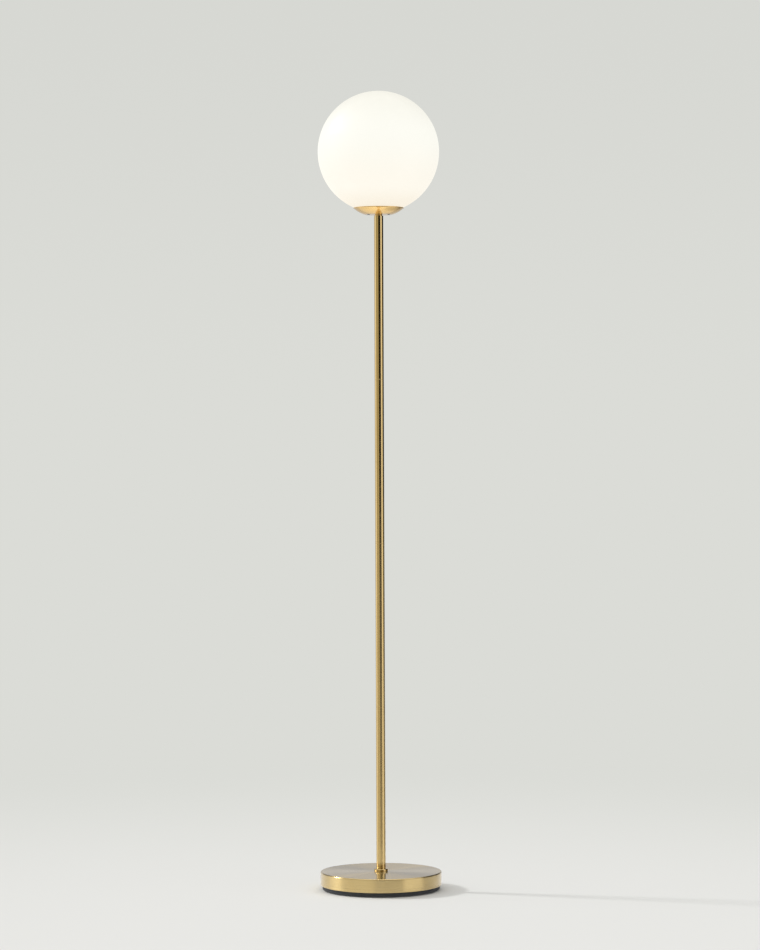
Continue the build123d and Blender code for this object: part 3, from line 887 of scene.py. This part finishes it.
@dataclass
class Stem:
    """Four brass tubes screwed end to end, on a turned collar."""

    radius: float = 9.5
    wall: float = 1.0
    foot: float = 40.0
    top: float = 1390.0
    sections: int = 4
    end_edge: float = 0.3
    collar_r: float = 14.0
    collar_low: float = 38.0
    collar_top: float = 43.0
    collar_edge: float = 1.6
    collar_low_edge: float = 0.3
    seat_edge: float = 0.2
    slip: float = 0.05
    bore: float = 5.2

    def build(self) -> None:
        """Build the tubes and the collar."""
        finish = TUBE_BRASS.material()
        length = (self.top - self.foot) / self.sections
        for number in range(self.sections):
            low = self.foot + number * length
            outline = rounded(
                [
                    (self.radius - self.wall, low),
                    (self.radius, low, self.end_edge),
                    (self.radius, low + length, self.end_edge),
                    (self.radius - self.wall, low + length),
                ],
                steps=3,
            )
            tube = lathe(f"stem_tube_{number + 1}_buffed", outline, 128, finish)
            place(tube, Body.STAND, "brass_tube", f"stem_tube_{number + 1}")
        seat = self.radius + self.slip
        outline = rounded(
            [
                (self.bore, self.collar_low),
                (self.collar_r, self.collar_low, self.collar_low_edge),
                (self.collar_r, self.collar_top, self.collar_edge),
                (seat, self.collar_top, self.seat_edge),
                (seat, self.foot),
                (self.bore, self.foot),
            ],
            steps=6,
        )
        place(lathe("stem_collar_turned", outline, 128, finish), Body.STAND, "brass_tube", "stem_collar")


@dataclass
class Gallery:
    """Spun dish with a rolled rim, the spring claws in it and the ring that bears the glass."""

    spacer_r: float = 7.5
    spacer_low: float = 1390.0
    spacer_edge: float = 0.3
    floor: float = 1392.5
    wall: float = 1.0
    flat_r: float = 28.0
    lift_deg: float = 16.0
    rim_r: float = 50.9
    rise: float = 13.3
    bead: float = 1.1
    arc_steps: int = 24
    bore: float = 5.2
    screws: int = 3
    screw_ring: float = 24.2
    screw_first: float = 90.0
    screw_r: float = 1.5
    screw_past: float = 2.4
    screw_edge: float = 0.2
    head_r: float = 2.75
    head_h: float = 1.9
    head_dome: float = 0.75  # rounding of the head as a share of its height
    drive: tuple[float, float] = (2.4, 0.55)
    drive_depth: float = 0.8
    drive_clear: float = 1.0
    claws: int = 3
    claw_t: float = 0.8
    claw_w: float = 12.0
    claw_in: float = 14.0
    claw_first: float = 30.0
    claw_foot: float = 4.0
    claw_foot_bend: float = 1.2
    claw_waist: float = 12.5  # height of the widest point over the ring
    claw_bend: float = 5.0
    claw_height: float = 22.0
    claw_tip_in: float = 3.0
    claw_cut_from: float = 8.0
    claw_cut: float = 0.7
    claw_columns: int = 8
    claw_side: float = 0.5  # thickness at the strip's rounded sides, as a share
    claw_least: float = 0.02  # keeps the round tip from ending in a point
    band_edge: float = 0.2
    gap: float = 0.3
    mouth_r: float = 34.0
    globe_r: float = 125.0
    globe_z: float = 1521.5
    gasket_shy: float = 1.5
    gasket_w: float = 5.9
    gasket_steps: int = 8

    def __post_init__(self) -> None:
        """Work out the arc of the dish's wall, as the frame has it."""
        start = (self.flat_r, self.floor + self.wall / 2)
        run, rise = self.rim_r - start[0], self.floor + self.rise - start[1]
        lift = math.radians(self.lift_deg)
        self.arc_r = math.hypot(run, rise) / (2 * math.sin(math.atan2(rise, run) - lift))
        self.arc_x = start[0] - self.arc_r * math.sin(lift)
        self.arc_z = start[1] + self.arc_r * math.cos(lift)

    def on_arc(self, offset: float, radius: float) -> float:
        """Give the height of the wall's arc, moved out by an offset, at a radius."""
        return self.arc_z - math.sqrt((self.arc_r + offset) ** 2 - (radius - self.arc_x) ** 2)

    def arc(self, offset: float, low: float, high: float) -> Outline:
        """Give points on the wall's arc.

        Args:
            offset: distance out from the wall's middle.
            low: angle of the first point.
            high: angle of the last point.

        Returns:
            The points.
        """
        radius = self.arc_r + offset
        steps = self.arc_steps
        angles = [low + (high - low) * step / steps for step in range(steps + 1)]
        return [(self.arc_x + radius * math.cos(a), self.arc_z + radius * math.sin(a)) for a in angles]

    def dish_outline(self) -> Outline:
        """Draw the dish: its flat, the curved wall and the rim rolled over a bead.

        Returns:
            The closed outline.
        """
        half = self.wall / 2
        rim_z = self.floor + self.rise
        rim = math.atan2(rim_z - self.arc_z, self.rim_r - self.arc_x)
        entry = math.sqrt(self.bead**2 - half**2) / self.arc_r
        under = -math.asin((self.arc_z - self.floor) / (self.arc_r + half))
        inside = -math.asin((self.arc_z - self.floor - self.wall) / (self.arc_r - half))
        outer = self.arc(half, under, rim - entry)
        inner = self.arc(-half, rim - entry, inside)
        along = (-math.sin(rim), math.cos(rim))
        out = (math.cos(rim), math.sin(rim))
        start = math.asin(half / self.bead)
        roll: Outline = []
        for step in range(1, self.arc_steps):
            angle = start + (FULL_TURN - 2 * start) * step / self.arc_steps
            back, side = -self.bead * math.cos(angle), self.bead * math.sin(angle)
            x = self.rim_r + back * along[0] + side * out[0]
            roll.append((x, rim_z + back * along[1] + side * out[1]))
        flat = [(self.bore, self.floor + self.wall), (self.bore, self.floor)]
        return held(outer + roll + inner + flat)

    def claw_route(self) -> Outline:
        """Draw the side view of a leaf spring, up from the ring and in again at its tip.

        Returns:
            Points along the middle of the strip, close together where it is wide or rounded.
        """
        mid = self.floor + self.wall + self.claw_t / 2
        ring_r = self.flat_r - self.gap
        wide = self.mouth_r - self.gap - self.claw_t
        tip = (wide - self.claw_tip_in, mid + self.claw_height)
        corners = [
            (ring_r - self.claw_foot, mid),
            (ring_r - self.claw_t / 2, mid, self.claw_foot_bend),
            (wide, mid + self.claw_waist, self.claw_bend),
            tip,
        ]
        bends = rounded(corners, steps=8)
        return divided(bends[: bends.index(tip) + 1], self.claw_cut, mid + self.claw_cut_from, tip[1])

    def claw(self, material: Material) -> Object:
        """Make one leaf spring with a round tip.

        Args:
            material: the strip's finish.

        Returns:
            The spring, pointing along +X.
        """
        route = self.claw_route()
        columns, half = self.claw_columns, self.claw_w / 2
        verts: list[tuple[float, float, float]] = []
        for index, (r, z) in enumerate(route):
            r1, z1 = route[max(0, index - 1)]
            r2, z2 = route[min(len(route) - 1, index + 1)]
            length = math.hypot(r2 - r1, z2 - z1)
            normal = ((z2 - z1) / length, -(r2 - r1) / length)
            left = route[-1][1] - z
            taper = 1.0 if left > half else math.sqrt(max(self.claw_least, 1 - (1 - left / half) ** 2))
            for side in (1, -1):
                for column in range(columns + 1):
                    y = self.claw_w * taper * (column / columns - 0.5) * side
                    edge = self.claw_side if column in (0, columns) else 1.0
                    shift = side * self.claw_t / 2 * edge
                    verts.append((r + normal[0] * shift, y, z + normal[1] * shift))
        around = 2 * (columns + 1)
        last = (len(route) - 1) * around
        faces = [list(range(around))[::-1], list(range(last, last + around))]
        for low in range(0, last, around):
            for column in range(around):
                ahead = (column + 1) % around
                faces.append([low + column, low + ahead, low + around + ahead, low + around + column])
        return link("claw_springs", verts, faces, material)

    def screw(self, material: Material) -> Object:
        """Make one domed screw, head down, with a cross recess.

        Args:
            material: the screw's finish.

        Returns:
            The screw, on the Z axis.
        """
        top = self.floor + self.wall + self.claw_t + self.screw_past
        low = self.floor - self.head_h
        corners = [
            (0, low),
            (self.head_r, low, self.head_h * self.head_dome),
            (self.head_r, self.floor),
            (self.screw_r, self.floor),
            (self.screw_r, top, self.screw_edge),
            (0, top),
        ]
        screw = lathe("gallery_screws_domed", rounded(corners, steps=6), 40, material)
        tools = []
        for wide, deep in (self.drive, self.drive[::-1]):
            box = [
                (x * wide / 2, y * deep / 2, z)
                for z in (low - self.drive_clear, low + self.drive_depth)
                for x, y in ((-1, -1), (1, -1), (1, 1), (-1, 1))
            ]
            tools.append(link("drive", box, BOX_SIDES, material))
        return cut(screw, *tools)

    def build(self, repeat: Repeat) -> None:
        """Build the dish and everything that holds the glass.

        Args:
            repeat: the tree that sets the screws and the claws.
        """
        spacer = rounded(
            [
                (self.bore, self.spacer_low),
                (self.spacer_r, self.spacer_low, self.spacer_edge),
                (self.spacer_r, self.floor, self.spacer_edge),
                (self.bore, self.floor),
            ],
            steps=3,
        )
        neck = lathe("top_spacer_turned", spacer, 96, TUBE_BRASS.material())
        place(neck, Body.STAND, "brass_tube", "top_spacer")
        dish = lathe("gallery_dish_spun", self.dish_outline(), 256, DISH_BRASS.material())
        place(dish, Body.STAND, "brass_gallery", "gallery_dish")
        screw = self.screw(ZINC.material())
        screws = repeat.around(screw, self.screws, self.screw_ring, self.screw_first)
        place(screws, Body.STAND, "steel", "gallery_screws")

        spring = SPRING.material()
        low, ring_r = self.floor + self.wall, self.flat_r - self.gap
        band = rounded(
            [
                (self.claw_in, low),
                (ring_r, low, self.band_edge),
                (ring_r, low + self.claw_t, self.band_edge),
                (self.claw_in, low + self.claw_t, self.band_edge),
            ],
            steps=2,
        )
        place(lathe("claw_ring_band", band, 128, spring), Body.STAND, "spring_steel", "claw_ring")
        springs = repeat.around(self.claw(spring), self.claws, 0, self.claw_first)
        place(springs, Body.STAND, "spring_steel", "claw_ring")

        outer = self.rim_r - self.gasket_shy
        steps = self.gasket_steps
        radii = [outer - self.gasket_w * (1 - step / steps) for step in range(steps + 1)]
        reach = self.globe_r + self.gap
        seat = [(r, self.on_arc(-self.wall / 2, r)) for r in radii]
        bearing = [(r, self.globe_z - math.sqrt(reach**2 - r**2)) for r in radii[::-1]]
        ring = lathe("glass_gasket_soft", held(seat + bearing), 160, SILICONE.material())
        place(ring, Body.STAND, "gasket_clear", "glass_gasket")


@dataclass
class Globe:
    """Blown opal glass ball with a fire-polished mouth at the bottom."""

    radius: float = 125.0
    wall: float = 3.0
    centre: float = 1521.5
    mouth: float = 34.0
    lip: float = 1.2
    lip_reach: float = 2.2  # the ball's own curve begins this far out from the mouth
    lip_shy: float = 0.1
    steps: tuple[int, int] = (104, 72)  # along the outside and the inside

    def build(self) -> None:
        """Build the shell, with its inner wall and its rounded lip."""
        begin = self.mouth + self.lip_reach
        walls, ends = [], []
        for radius, steps in zip((self.radius, self.radius - self.wall), self.steps):
            walls.append(dome(radius, self.centre, -math.sqrt(radius**2 - begin**2), steps))
            ends.append((self.mouth, self.centre - math.sqrt(radius**2 - self.mouth**2), self.lip))
        outside, inside = walls
        lip = rounded([inside[0], ends[1], ends[0], outside[0]], steps=6)
        edge = [p for p in lip if p[0] < begin - self.lip_shy]
        points = outside[::-1] + edge[::-1] + inside
        shell = lathe("globe_glass_blown", points, 224, OPAL.material())
        place(shell, Body.GLOBE, "opal_glass", "globe_glass")


@dataclass
class Lampholder:
    """White screw lampholder: cap, skirt with a ribbed grip, and the rolled screw shell."""

    foot: float = 1399.0
    radius: float = 20.0
    top_r: float = 18.5
    foot_r: float = 8.5
    dome: float = 12.0
    dome_edge: float = 4.0
    step: float = 15.0
    spigot_top: float = 22.0
    height: float = 52.0
    cavity: float = 8.0
    wall: float = 2.0
    core_top: float = 26.0
    tapped_r: float = 5.05
    skirt_bore: float = 15.1
    fine_edge: float = 0.3
    rim_edge: float = 0.8
    shoulder_edge: float = 1.8
    skirt_edge: float = 0.4
    shell_r: float = 13.0
    shell_bore: float = 6.5
    shell_wall: float = 0.5
    shell_drop: float = 2.5
    thread_ends: tuple[float, float] = (1.5, 0.8)
    thread_cut: float = 0.3
    ridge: float = 0.5
    pitch: float = 25.4 / 7
    ribs: int = 36
    rib_sunk: float = 0.35
    rib_ends: tuple[float, float] = (1.5, 2.5)
    rib_end: tuple[tuple[float, float], ...] = ((0.0, 0.0), (0.55, 0.5), (0.7, 1.1))

    def build(self, repeat: Repeat, thread: RolledThread) -> None:
        """Build the outer parts and the shell that the bulb screws into.

        Args:
            repeat: the tree that sets the ribs.
            thread: the tree that rolls the shell.
        """
        white = HOLDER_PLASTIC.material()
        spigot = self.radius - self.wall
        hollow = spigot - self.wall
        cap = raised(
            self.foot,
            (self.tapped_r, 0),
            (self.foot_r, 0, self.rim_edge),
            (self.radius, self.dome, self.dome_edge),
            (self.radius, self.step, self.fine_edge),
            (spigot, self.step),
            (spigot, self.spigot_top, self.fine_edge),
            (hollow, self.spigot_top),
            (hollow, self.cavity),
            (self.tapped_r, self.cavity),
        )
        piece = lathe("holder_cap_moulded", rounded(cap, steps=6), 128, white)
        place(piece, Body.STAND, "holder_white", "holder_cap")

        skirt = raised(
            self.foot,
            (spigot, self.step),
            (self.radius, self.step, self.skirt_edge),
            (self.radius, self.core_top, self.shoulder_edge),
            (self.top_r, self.core_top + self.wall, self.shoulder_edge),
            (self.top_r, self.height, self.rim_edge),
            (self.skirt_bore, self.height, self.rim_edge),
            (self.skirt_bore, self.core_top),
            (spigot, self.core_top),
        )
        piece = lathe("holder_skirt_moulded", rounded(skirt, steps=6), 128, white)
        place(piece, Body.STAND, "holder_white", "holder_skirt")

        low = self.foot + self.step + self.rib_ends[0]
        high = self.foot + self.core_top - self.rib_ends[1]
        rib = [(r, low + z) for r, z in self.rib_end] + [(r, high - z) for r, z in self.rib_end[::-1]]
        grip = lathe("holder_grip_ribs", rib, 12, white)
        ribs = repeat.around(grip, self.ribs, self.radius - self.rib_sunk, 0)
        place(ribs, Body.STAND, "holder_white", "holder_skirt")

        low, high = self.foot + self.core_top, self.foot + self.height - self.shell_drop
        outer = self.shell_r + self.shell_wall
        outline = [
            (self.shell_bore, low),
            (outer, low),
            (outer, high),
            (self.shell_r, high),
            (self.shell_r, low + self.shell_wall),
            (self.shell_bore, low + self.shell_wall),
        ]
        fine = divided(held(outline), self.thread_cut, low, high)
        shell = lathe("holder_shell_rolled", fine, 96, CONTACT.material())
        ends = (low + self.thread_ends[0], high - self.thread_ends[1])
        shell = thread.roll(shell, self.ridge, self.pitch, *ends)
        place(shell, Body.STAND, "contact_brass", "holder_screw_shell")


@dataclass
class Bulb:
    """Screw-cap bulb: rolled cap, white housing and a frosted dome."""

    tip: float = 1429.3
    tip_r: float = 4.5
    tip_h: float = 2.0
    tip_edge: float = 1.2
    foot: float = 6.4
    foot_r: float = 9.0
    foot_w: float = 2.0
    foot_slope: float = 2.0
    cap_r: float = 12.55
    cap_wall: float = 0.4
    cap_top: float = 27.0
    cap_edge: float = 1.0
    lip_r: float = 13.2
    lip_h: float = 1.2
    lip_slope: float = 0.3
    thread_ends: tuple[float, float] = (2.5, 1.4)
    thread_cut: float = 0.3
    ridge: float = 0.5
    pitch: float = 25.4 / 7
    neck_r: float = 13.8
    neck_edge: float = 0.3
    neck: float = 6.0
    neck_curve: float = 12.0
    waist_in: float = 1.5
    waist_curve: float = 60.0
    radius: float = 30.0
    length: float = 107.0
    dome_h: float = 39.0
    dome_steps: tuple[int, int] = (40, 32)  # along the outside and the inside
    wall: float = 1.5
    seat: float = 3.0
    seat_wall: float = 3.75
    slip: float = 0.05

    def build(self, thread: RolledThread) -> None:
        """Build the bulb from its tip contact to its dome.

        Args:
            thread: the tree that rolls the cap.
        """
        corners = [(0, 0), (self.tip_r, 0, self.tip_edge), (self.tip_r, self.tip_h), (0, self.tip_h)]
        contact = rounded(raised(self.tip, *corners), steps=5)
        bead = lathe("bulb_tip_contact", contact, 64, CONTACT.material())
        place(bead, Body.TIP, "contact_brass", "bulb_contact")
        self.build_cap(thread)
        self.build_housing()

    def build_cap(self, thread: RolledThread) -> None:
        """Build the screw cap.

        Args:
            thread: the tree that rolls it.
        """
        inner = self.cap_r - self.cap_wall
        cap = raised(
            self.tip,
            (self.foot_r - self.foot_w, self.foot),
            (self.foot_r, self.foot),
            (self.cap_r, self.foot + self.foot_slope, self.cap_edge),
            (self.cap_r, self.cap_top - self.lip_h, self.lip_slope),
            (self.lip_r, self.cap_top - self.lip_h + self.lip_slope, self.lip_slope),
            (self.lip_r, self.cap_top),
            (inner, self.cap_top),
            (inner, self.foot + self.foot_slope + self.cap_wall),
            (self.foot_r, self.foot + self.cap_wall),
            (self.foot_r - self.foot_w, self.foot + self.cap_wall),
        )
        low = self.tip + self.foot + self.thread_ends[0]
        high = self.tip + self.cap_top - self.thread_ends[1]
        fine = divided(rounded(cap, steps=4), self.thread_cut, low, high)
        wall = lathe("bulb_cap_rolled", fine, 96, NICKEL.material())
        place(thread.roll(wall, self.ridge, self.pitch, low, high), Body.BULB, "nickel", "bulb_cap")

    def build_housing(self) -> None:
        """Build the white housing and the dome on it."""
        inner = self.cap_r - self.cap_wall
        centre = self.length - self.radius
        shoulder = self.length - self.dome_h
        shoulder_r = math.sqrt(self.radius**2 - (centre - shoulder) ** 2)
        waist_z = (self.cap_top + shoulder) / 2
        waist_r = (self.neck_r + shoulder_r) / 2 - self.waist_in
        housing = raised(
            self.tip,
            (inner - self.slip, self.cap_top - self.neck),
            (inner - self.slip, self.cap_top),
            (self.neck_r, self.cap_top, self.neck_edge),
            (self.neck_r, self.cap_top + self.neck, self.neck_curve),
            (waist_r, waist_z, self.waist_curve),
            (shoulder_r, shoulder),
            (0, shoulder),
            (0, shoulder - self.seat),
            (shoulder_r - self.seat_wall, shoulder - self.seat),
            (waist_r - self.wall, waist_z),
            (inner - self.wall, self.cap_top + self.neck),
            (inner - self.wall, self.cap_top - self.neck),
        )
        body = lathe("bulb_housing_moulded", rounded(housing, steps=10), 128, HOUSING.material())
        place(body, Body.BULB, "bulb_white", "bulb_housing")

        level, start = self.tip + centre, shoulder - centre
        inside = dome(self.radius - self.wall, level, start, self.dome_steps[1])
        points = dome(self.radius, level, start, self.dome_steps[0]) + inside[::-1]
        frosted = lathe("bulb_dome_frosted", points, 128, DIFFUSER.material())
        place(frosted, Body.BULB, "bulb_diffuser", "bulb_diffuser")


@dataclass(frozen=True)
class KeptNodes:
    """CAD nodes that are shown as they are, and what each is made of."""

    finishes: tuple[tuple[Any, tuple[str, ...]], ...] = (
        (IRON, ("base_weight",)),
        (TRAY_PLASTIC, ("base_tray",)),
        (BUSH_NYLON, ("cord_bush",)),
        (BLOCK_PLASTIC, ("terminal_block",)),
        (ZINC, ("base_screws", "base_washer", "base_nut", "base_nipple", "terminal_screws")),
        (ZINC, tuple(f"stem_{kind}_{number}" for kind in ("socket", "stud") for number in (1, 2, 3))),
        (ZINC, ("stem_foot_insert", "stem_top_insert")),
        (ZINC, ("top_nipple", "dish_washer", "dish_nut", "gallery_nuts")),
        (CONTACT, ("terminal_barrels", "centre_contact")),
        (SHEATH, ("stem_flex",)),
        (PORCELAIN, ("holder_core",)),
        (BLACK_GLASS, ("bulb_insulator",)),
        (BOARD, ("led_board",)),
        (PHOSPHOR, ("led_chips",)),
    )

    def dress(self) -> None:
        """Give each node its finish."""
        for finish, nodes in self.finishes:
            for name in nodes:
                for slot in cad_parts[name].material_slots:
                    slot.material = finish.material()
                log.info("%s: kept, in %s", name, finish.name)


# ---------------------------------------------------------------- the studio
@dataclass(frozen=True)
class Studio:
    """Pale sweep, soft light and the camera. Its distances are in metres."""

    distance: float = 6.5
    eye: float = 0.9403
    pitch_deg: float = -0.743
    roll_deg: float = -0.217
    aside: float = 0.00085
    view_deg: float = 17.14
    wall_grey: str = "#DBDCD7"
    floor_grey: str = "#DADAD8"
    wall_loss: float = 0.04  # the wall is this much dimmer at the top of the view
    wall_top: float = 0.14  # the top of the view, as the upward part of the direction

    # What the metal sees round it, turning to the right from the camera: angle, brightness and
    # how warm it is. Two soft boxes and the dark gaps beside them make the stripes on the stem.
    ring: tuple[tuple[float, float, float], ...] = (
        (-180, 0.57, 0.0), (-150, 0.58, 0.0), (-120, 0.50, 0.0), (-110, 1.04, 0.0), (-84, 1.12, 0.0),
        (-79, 0.46, 0.5), (-60, 0.42, 1.0), (-20, 0.46, 1.0), (-13, 0.44, 1.0), (-11, 0.02, 1.0),
        (43, 0.02, 1.0), (45, 0.98, 0.0), (84, 0.92, 0.0), (87, 0.02, 0.5), (150, 0.02, 0.5),
        (160, 0.44, 0.0), (180, 0.57, 0.0),
    )
    warm_loss: tuple[float, float] = (0.05, 0.28)  # what green and blue lose where it is warm

    # The ceiling, by the upward part of the direction: where it begins, where it is full.
    ceiling_from: tuple[float, float] = (0.45, 0.85)
    ceiling: tuple[float, float, float, float] = (1.2, 1.2, 1.19, 1)

    # Height of the dark band above the soft boxes in the same measure, its soft edges and its depth.
    dark_band: tuple[float, float] = (0.22, 0.80)
    dark_edges: tuple[float, float] = (0.12, 0.18)
    dark_share: float = 0.85

    # How much of the floor is missing from reflections, by distance from the lamp.
    floor_loss: tuple[tuple[float, float], ...] = (
        (0.2, 0.0), (0.72, 0.55), (2.6, 0.70), (5.6, 0.80), (8.0, 0.85)
    )
    floor_reach: float = 8.0
    floor_middle: tuple[float, float, float] = (0.0, -0.8, 0.0)
    floor_fade: tuple[float, float] = (0.4, 3.2)  # the floor turns to the wall's grey from here to here
    floor_radius: float = 40.0
    floor_steps: int = 96

    key_aside_deg: float = 16.0
    key_high_deg: float = 34.0
    key_power: float = 1.6
    key_soft_deg: float = 6.0
    bounce_power: float = 11.5
    bounce_at: tuple[float, float, float] = (0.0, -0.15, 0.001)
    bounce_size: float = 4.4
    bounce_spread_deg: float = 135.0

    def camera(self) -> None:
        """Set the camera where the photograph was taken from."""
        lens = bpy.data.cameras.new("camera")
        lens.sensor_fit = "VERTICAL"
        lens.sensor_height = 36.0
        lens.angle_y = math.radians(self.view_deg)
        lens.clip_end = 200
        holder = bpy.data.objects.new("camera", lens)
        holder.location = (self.aside, -self.distance, self.eye)
        tilt = Euler((math.radians(90 + self.pitch_deg), 0, 0)).to_matrix()
        roll = Euler((0, 0, math.radians(self.roll_deg))).to_matrix()
        holder.rotation_euler = (tilt @ roll).to_euler()
        bpy.context.scene.collection.objects.link(holder)
        bpy.context.scene.camera = holder

    def panels(self, tree: Tree, axes: Any) -> Any:
        """Paint the ring of soft boxes and gaps round the lamp.

        Args:
            tree: the world's tree.
            axes: sockets with the X, Y and Z of the direction.

        Returns:
            The node with the colour.
        """
        toward = add(tree, "ShaderNodeMath", {"operation": "MULTIPLY", 1: -1.0}, {0: axes[1]})
        turn = add(tree, "ShaderNodeMath", {"operation": "ARCTAN2"}, {0: axes[0], 1: toward})
        to_share = {"operation": "MULTIPLY_ADD", 1: 1 / FULL_TURN, 2: 0.5}
        share = add(tree, "ShaderNodeMath", to_share, {0: turn})
        ramp = add(tree, "ShaderNodeValToRGB", None, {0: share})
        brightest = max(level for _, level, _ in self.ring)
        stops = []
        for angle, level, warmth in self.ring:
            part = level / brightest
            green, blue = (part * (1 - loss * warmth) for loss in self.warm_loss)
            stops.append((angle / 360 + 0.5, (part, green, blue, 1)))
        set_stops(ramp, stops)
        return add(tree, "ShaderNodeVectorMath", {"operation": "SCALE", "Scale": brightest}, {0: ramp})

    def soffit(self, tree: Tree, axes: Any, path: Any, room: Any) -> Any:
        """Darken the band between the soft boxes and the ceiling, for reflections alone.

        Args:
            tree: the world's tree.
            axes: sockets with the X, Y and Z of the direction.
            path: sockets of the light path.
            room: the socket with the panels and the ceiling.

        Returns:
            The node with the colour.
        """
        low, high = self.dark_band
        begin = {"From Min": low, "From Max": low + self.dark_edges[0], "To Max": self.dark_share}
        rise = add(tree, "ShaderNodeMapRange", SMOOTH | begin, {"Value": axes[2]})
        end = {"From Min": high - self.dark_edges[1], "From Max": high, "To Min": 1.0, "To Max": 0.0}
        fall = add(tree, "ShaderNodeMapRange", SMOOTH | end, {"Value": axes[2]})
        band = add(tree, "ShaderNodeMath", {"operation": "MULTIPLY"}, {0: rise, 1: fall})
        links = {0: band, 1: path["Is Glossy Ray"]}
        met = add(tree, "ShaderNodeMath", {"operation": "MULTIPLY"}, links)
        left = add(tree, "ShaderNodeMath", {"operation": "SUBTRACT", 0: 1.0}, {1: met})
        return add(tree, "ShaderNodeVectorMath", {"operation": "SCALE"}, {0: room, "Scale": left})

    def world(self) -> None:
        """Paint the room: plain for the eye, with panels and dark gaps for the metal."""
        world = bpy.data.worlds.new("studio_room")
        world.use_nodes = True
        tree = world.node_tree
        tree.nodes.clear()
        where = add(tree, "ShaderNodeTexCoord")
        axes = add(tree, "ShaderNodeSeparateXYZ", None, {0: where.outputs["Generated"]}).outputs
        path = add(tree, "ShaderNodeLightPath").outputs
        low, high = self.ceiling_from
        up = add(tree, "ShaderNodeMapRange", SMOOTH | {"From Min": low, "From Max": high}, {"Value": axes[2]})
        ceiling = {"data_type": "RGBA", 7: self.ceiling}
        room = add(tree, "ShaderNodeMix", ceiling, {0: up, 6: self.panels(tree, axes)}).outputs[2]
        fall = {"From Max": self.wall_top, "To Min": 1.0, "To Max": 1 - self.wall_loss}
        dim = add(tree, "ShaderNodeMapRange", SMOOTH | fall, {"Value": axes[2]})
        paint = {"operation": "SCALE", 0: linear(self.wall_grey)[:3]}
        wall = add(tree, "ShaderNodeVectorMath", paint, {"Scale": dim})
        links = {0: path["Is Camera Ray"], 6: self.soffit(tree, axes, path, room), 7: wall}
        both = add(tree, "ShaderNodeMix", {"data_type": "RGBA"}, links).outputs[2]
        light = add(tree, "ShaderNodeBackground", None, {0: both})
        add(tree, "ShaderNodeOutputWorld", None, {0: light})
        bpy.context.scene.world = world

    def sweep(self) -> None:
        """Lay the paper floor, which fades into the wall with distance."""
        material, tree = blank_material("paper_sweep_pale_grey")
        spot = add(tree, "ShaderNodeTexCoord").outputs["Object"]
        middle = {"operation": "DISTANCE", 1: self.floor_middle}
        seen_at = add(tree, "ShaderNodeVectorMath", middle, {0: spot}).outputs["Value"]
        fade = {"From Min": self.floor_fade[0], "From Max": self.floor_fade[1]}
        seen = add(tree, "ShaderNodeMapRange", SMOOTH | fade, {"Value": seen_at})
        reach = add(tree, "ShaderNodeVectorMath", {"operation": "LENGTH"}, {0: spot}).outputs["Value"]
        share = add(tree, "ShaderNodeMath", {"operation": "DIVIDE", 1: self.floor_reach}, {0: reach})
        met = add(tree, "ShaderNodeValToRGB", None, {0: share})
        set_stops(met, [(at / self.floor_reach, (loss, loss, loss, 1)) for at, loss in self.floor_loss])
        paper = add(tree, "ShaderNodeBsdfDiffuse", {"Color": linear(self.floor_grey)})
        glow = add(tree, "ShaderNodeEmission", {"Color": linear(self.wall_grey)})
        open_air = add(tree, "ShaderNodeBsdfTransparent")
        eye = add(tree, "ShaderNodeMixShader", None, {0: seen, 1: paper, 2: glow})
        rest = add(tree, "ShaderNodeMixShader", None, {0: met, 1: paper, 2: open_air})
        path = add(tree, "ShaderNodeLightPath").outputs["Is Camera Ray"]
        both = add(tree, "ShaderNodeMixShader", None, {0: path, 1: rest, 2: eye})
        add(tree, "ShaderNodeOutputMaterial", None, {0: both})
        radius, steps = self.floor_radius / MM, self.floor_steps
        angles = [FULL_TURN * step / steps for step in range(steps)]
        rim = [(radius * math.cos(angle), radius * math.sin(angle), 0) for angle in angles]
        link("studio_floor", rim, [list(range(steps))], material)

    def lamp(self, name: str, kind: str, toward: tuple[float, float, float], power: float) -> Object:
        """Add one light.

        Args:
            name: its name.
            kind: Blender's name for the type of light.
            toward: direction from the object to the light.
            power: its strength.

        Returns:
            The light's object.
        """
        light = bpy.data.lights.new(name, kind)
        light.energy = power
        holder = bpy.data.objects.new(name, light)
        holder.rotation_euler = Vector(toward).to_track_quat("Z", "Y").to_euler()
        bpy.context.scene.collection.objects.link(holder)
        return holder

    def lights(self) -> None:
        """Set the key light at the left, slightly behind, and the bounce from the floor."""
        side, height = math.radians(self.key_aside_deg), math.radians(self.key_high_deg)
        level = math.cos(height)
        toward = (-math.cos(side) * level, math.sin(side) * level, math.sin(height))
        key = self.lamp("key", "SUN", toward, self.key_power)
        key.data.angle = math.radians(self.key_soft_deg)
        bounce = self.lamp("floor_bounce", "AREA", (0, 0, -1), self.bounce_power)
        bounce.location = self.bounce_at
        bounce.data.shape = "DISK"
        bounce.data.size = self.bounce_size
        bounce.data.spread = math.radians(self.bounce_spread_deg)
        bounce.visible_diffuse = False
        bounce.visible_camera = False

    def build(self) -> None:
        """Set up the room and the view."""
        self.camera()
        self.world()
        self.sweep()
        self.lights()
        bpy.context.scene.view_settings.view_transform = "Standard"


def main() -> None:
    """Build the studio and every piece of the lamp, in the order of its assembly."""
    logging.basicConfig(level=logging.INFO, format="%(message)s")
    Studio().build()
    repeat = Repeat()
    thread = RolledThread()
    KeptNodes().dress()
    Base().build(repeat)
    Stem().build()
    Gallery().build(repeat)
    Globe().build()
    Lampholder().build(repeat, thread)
    Bulb().build(thread)


if __name__ == "__main__":
    main()
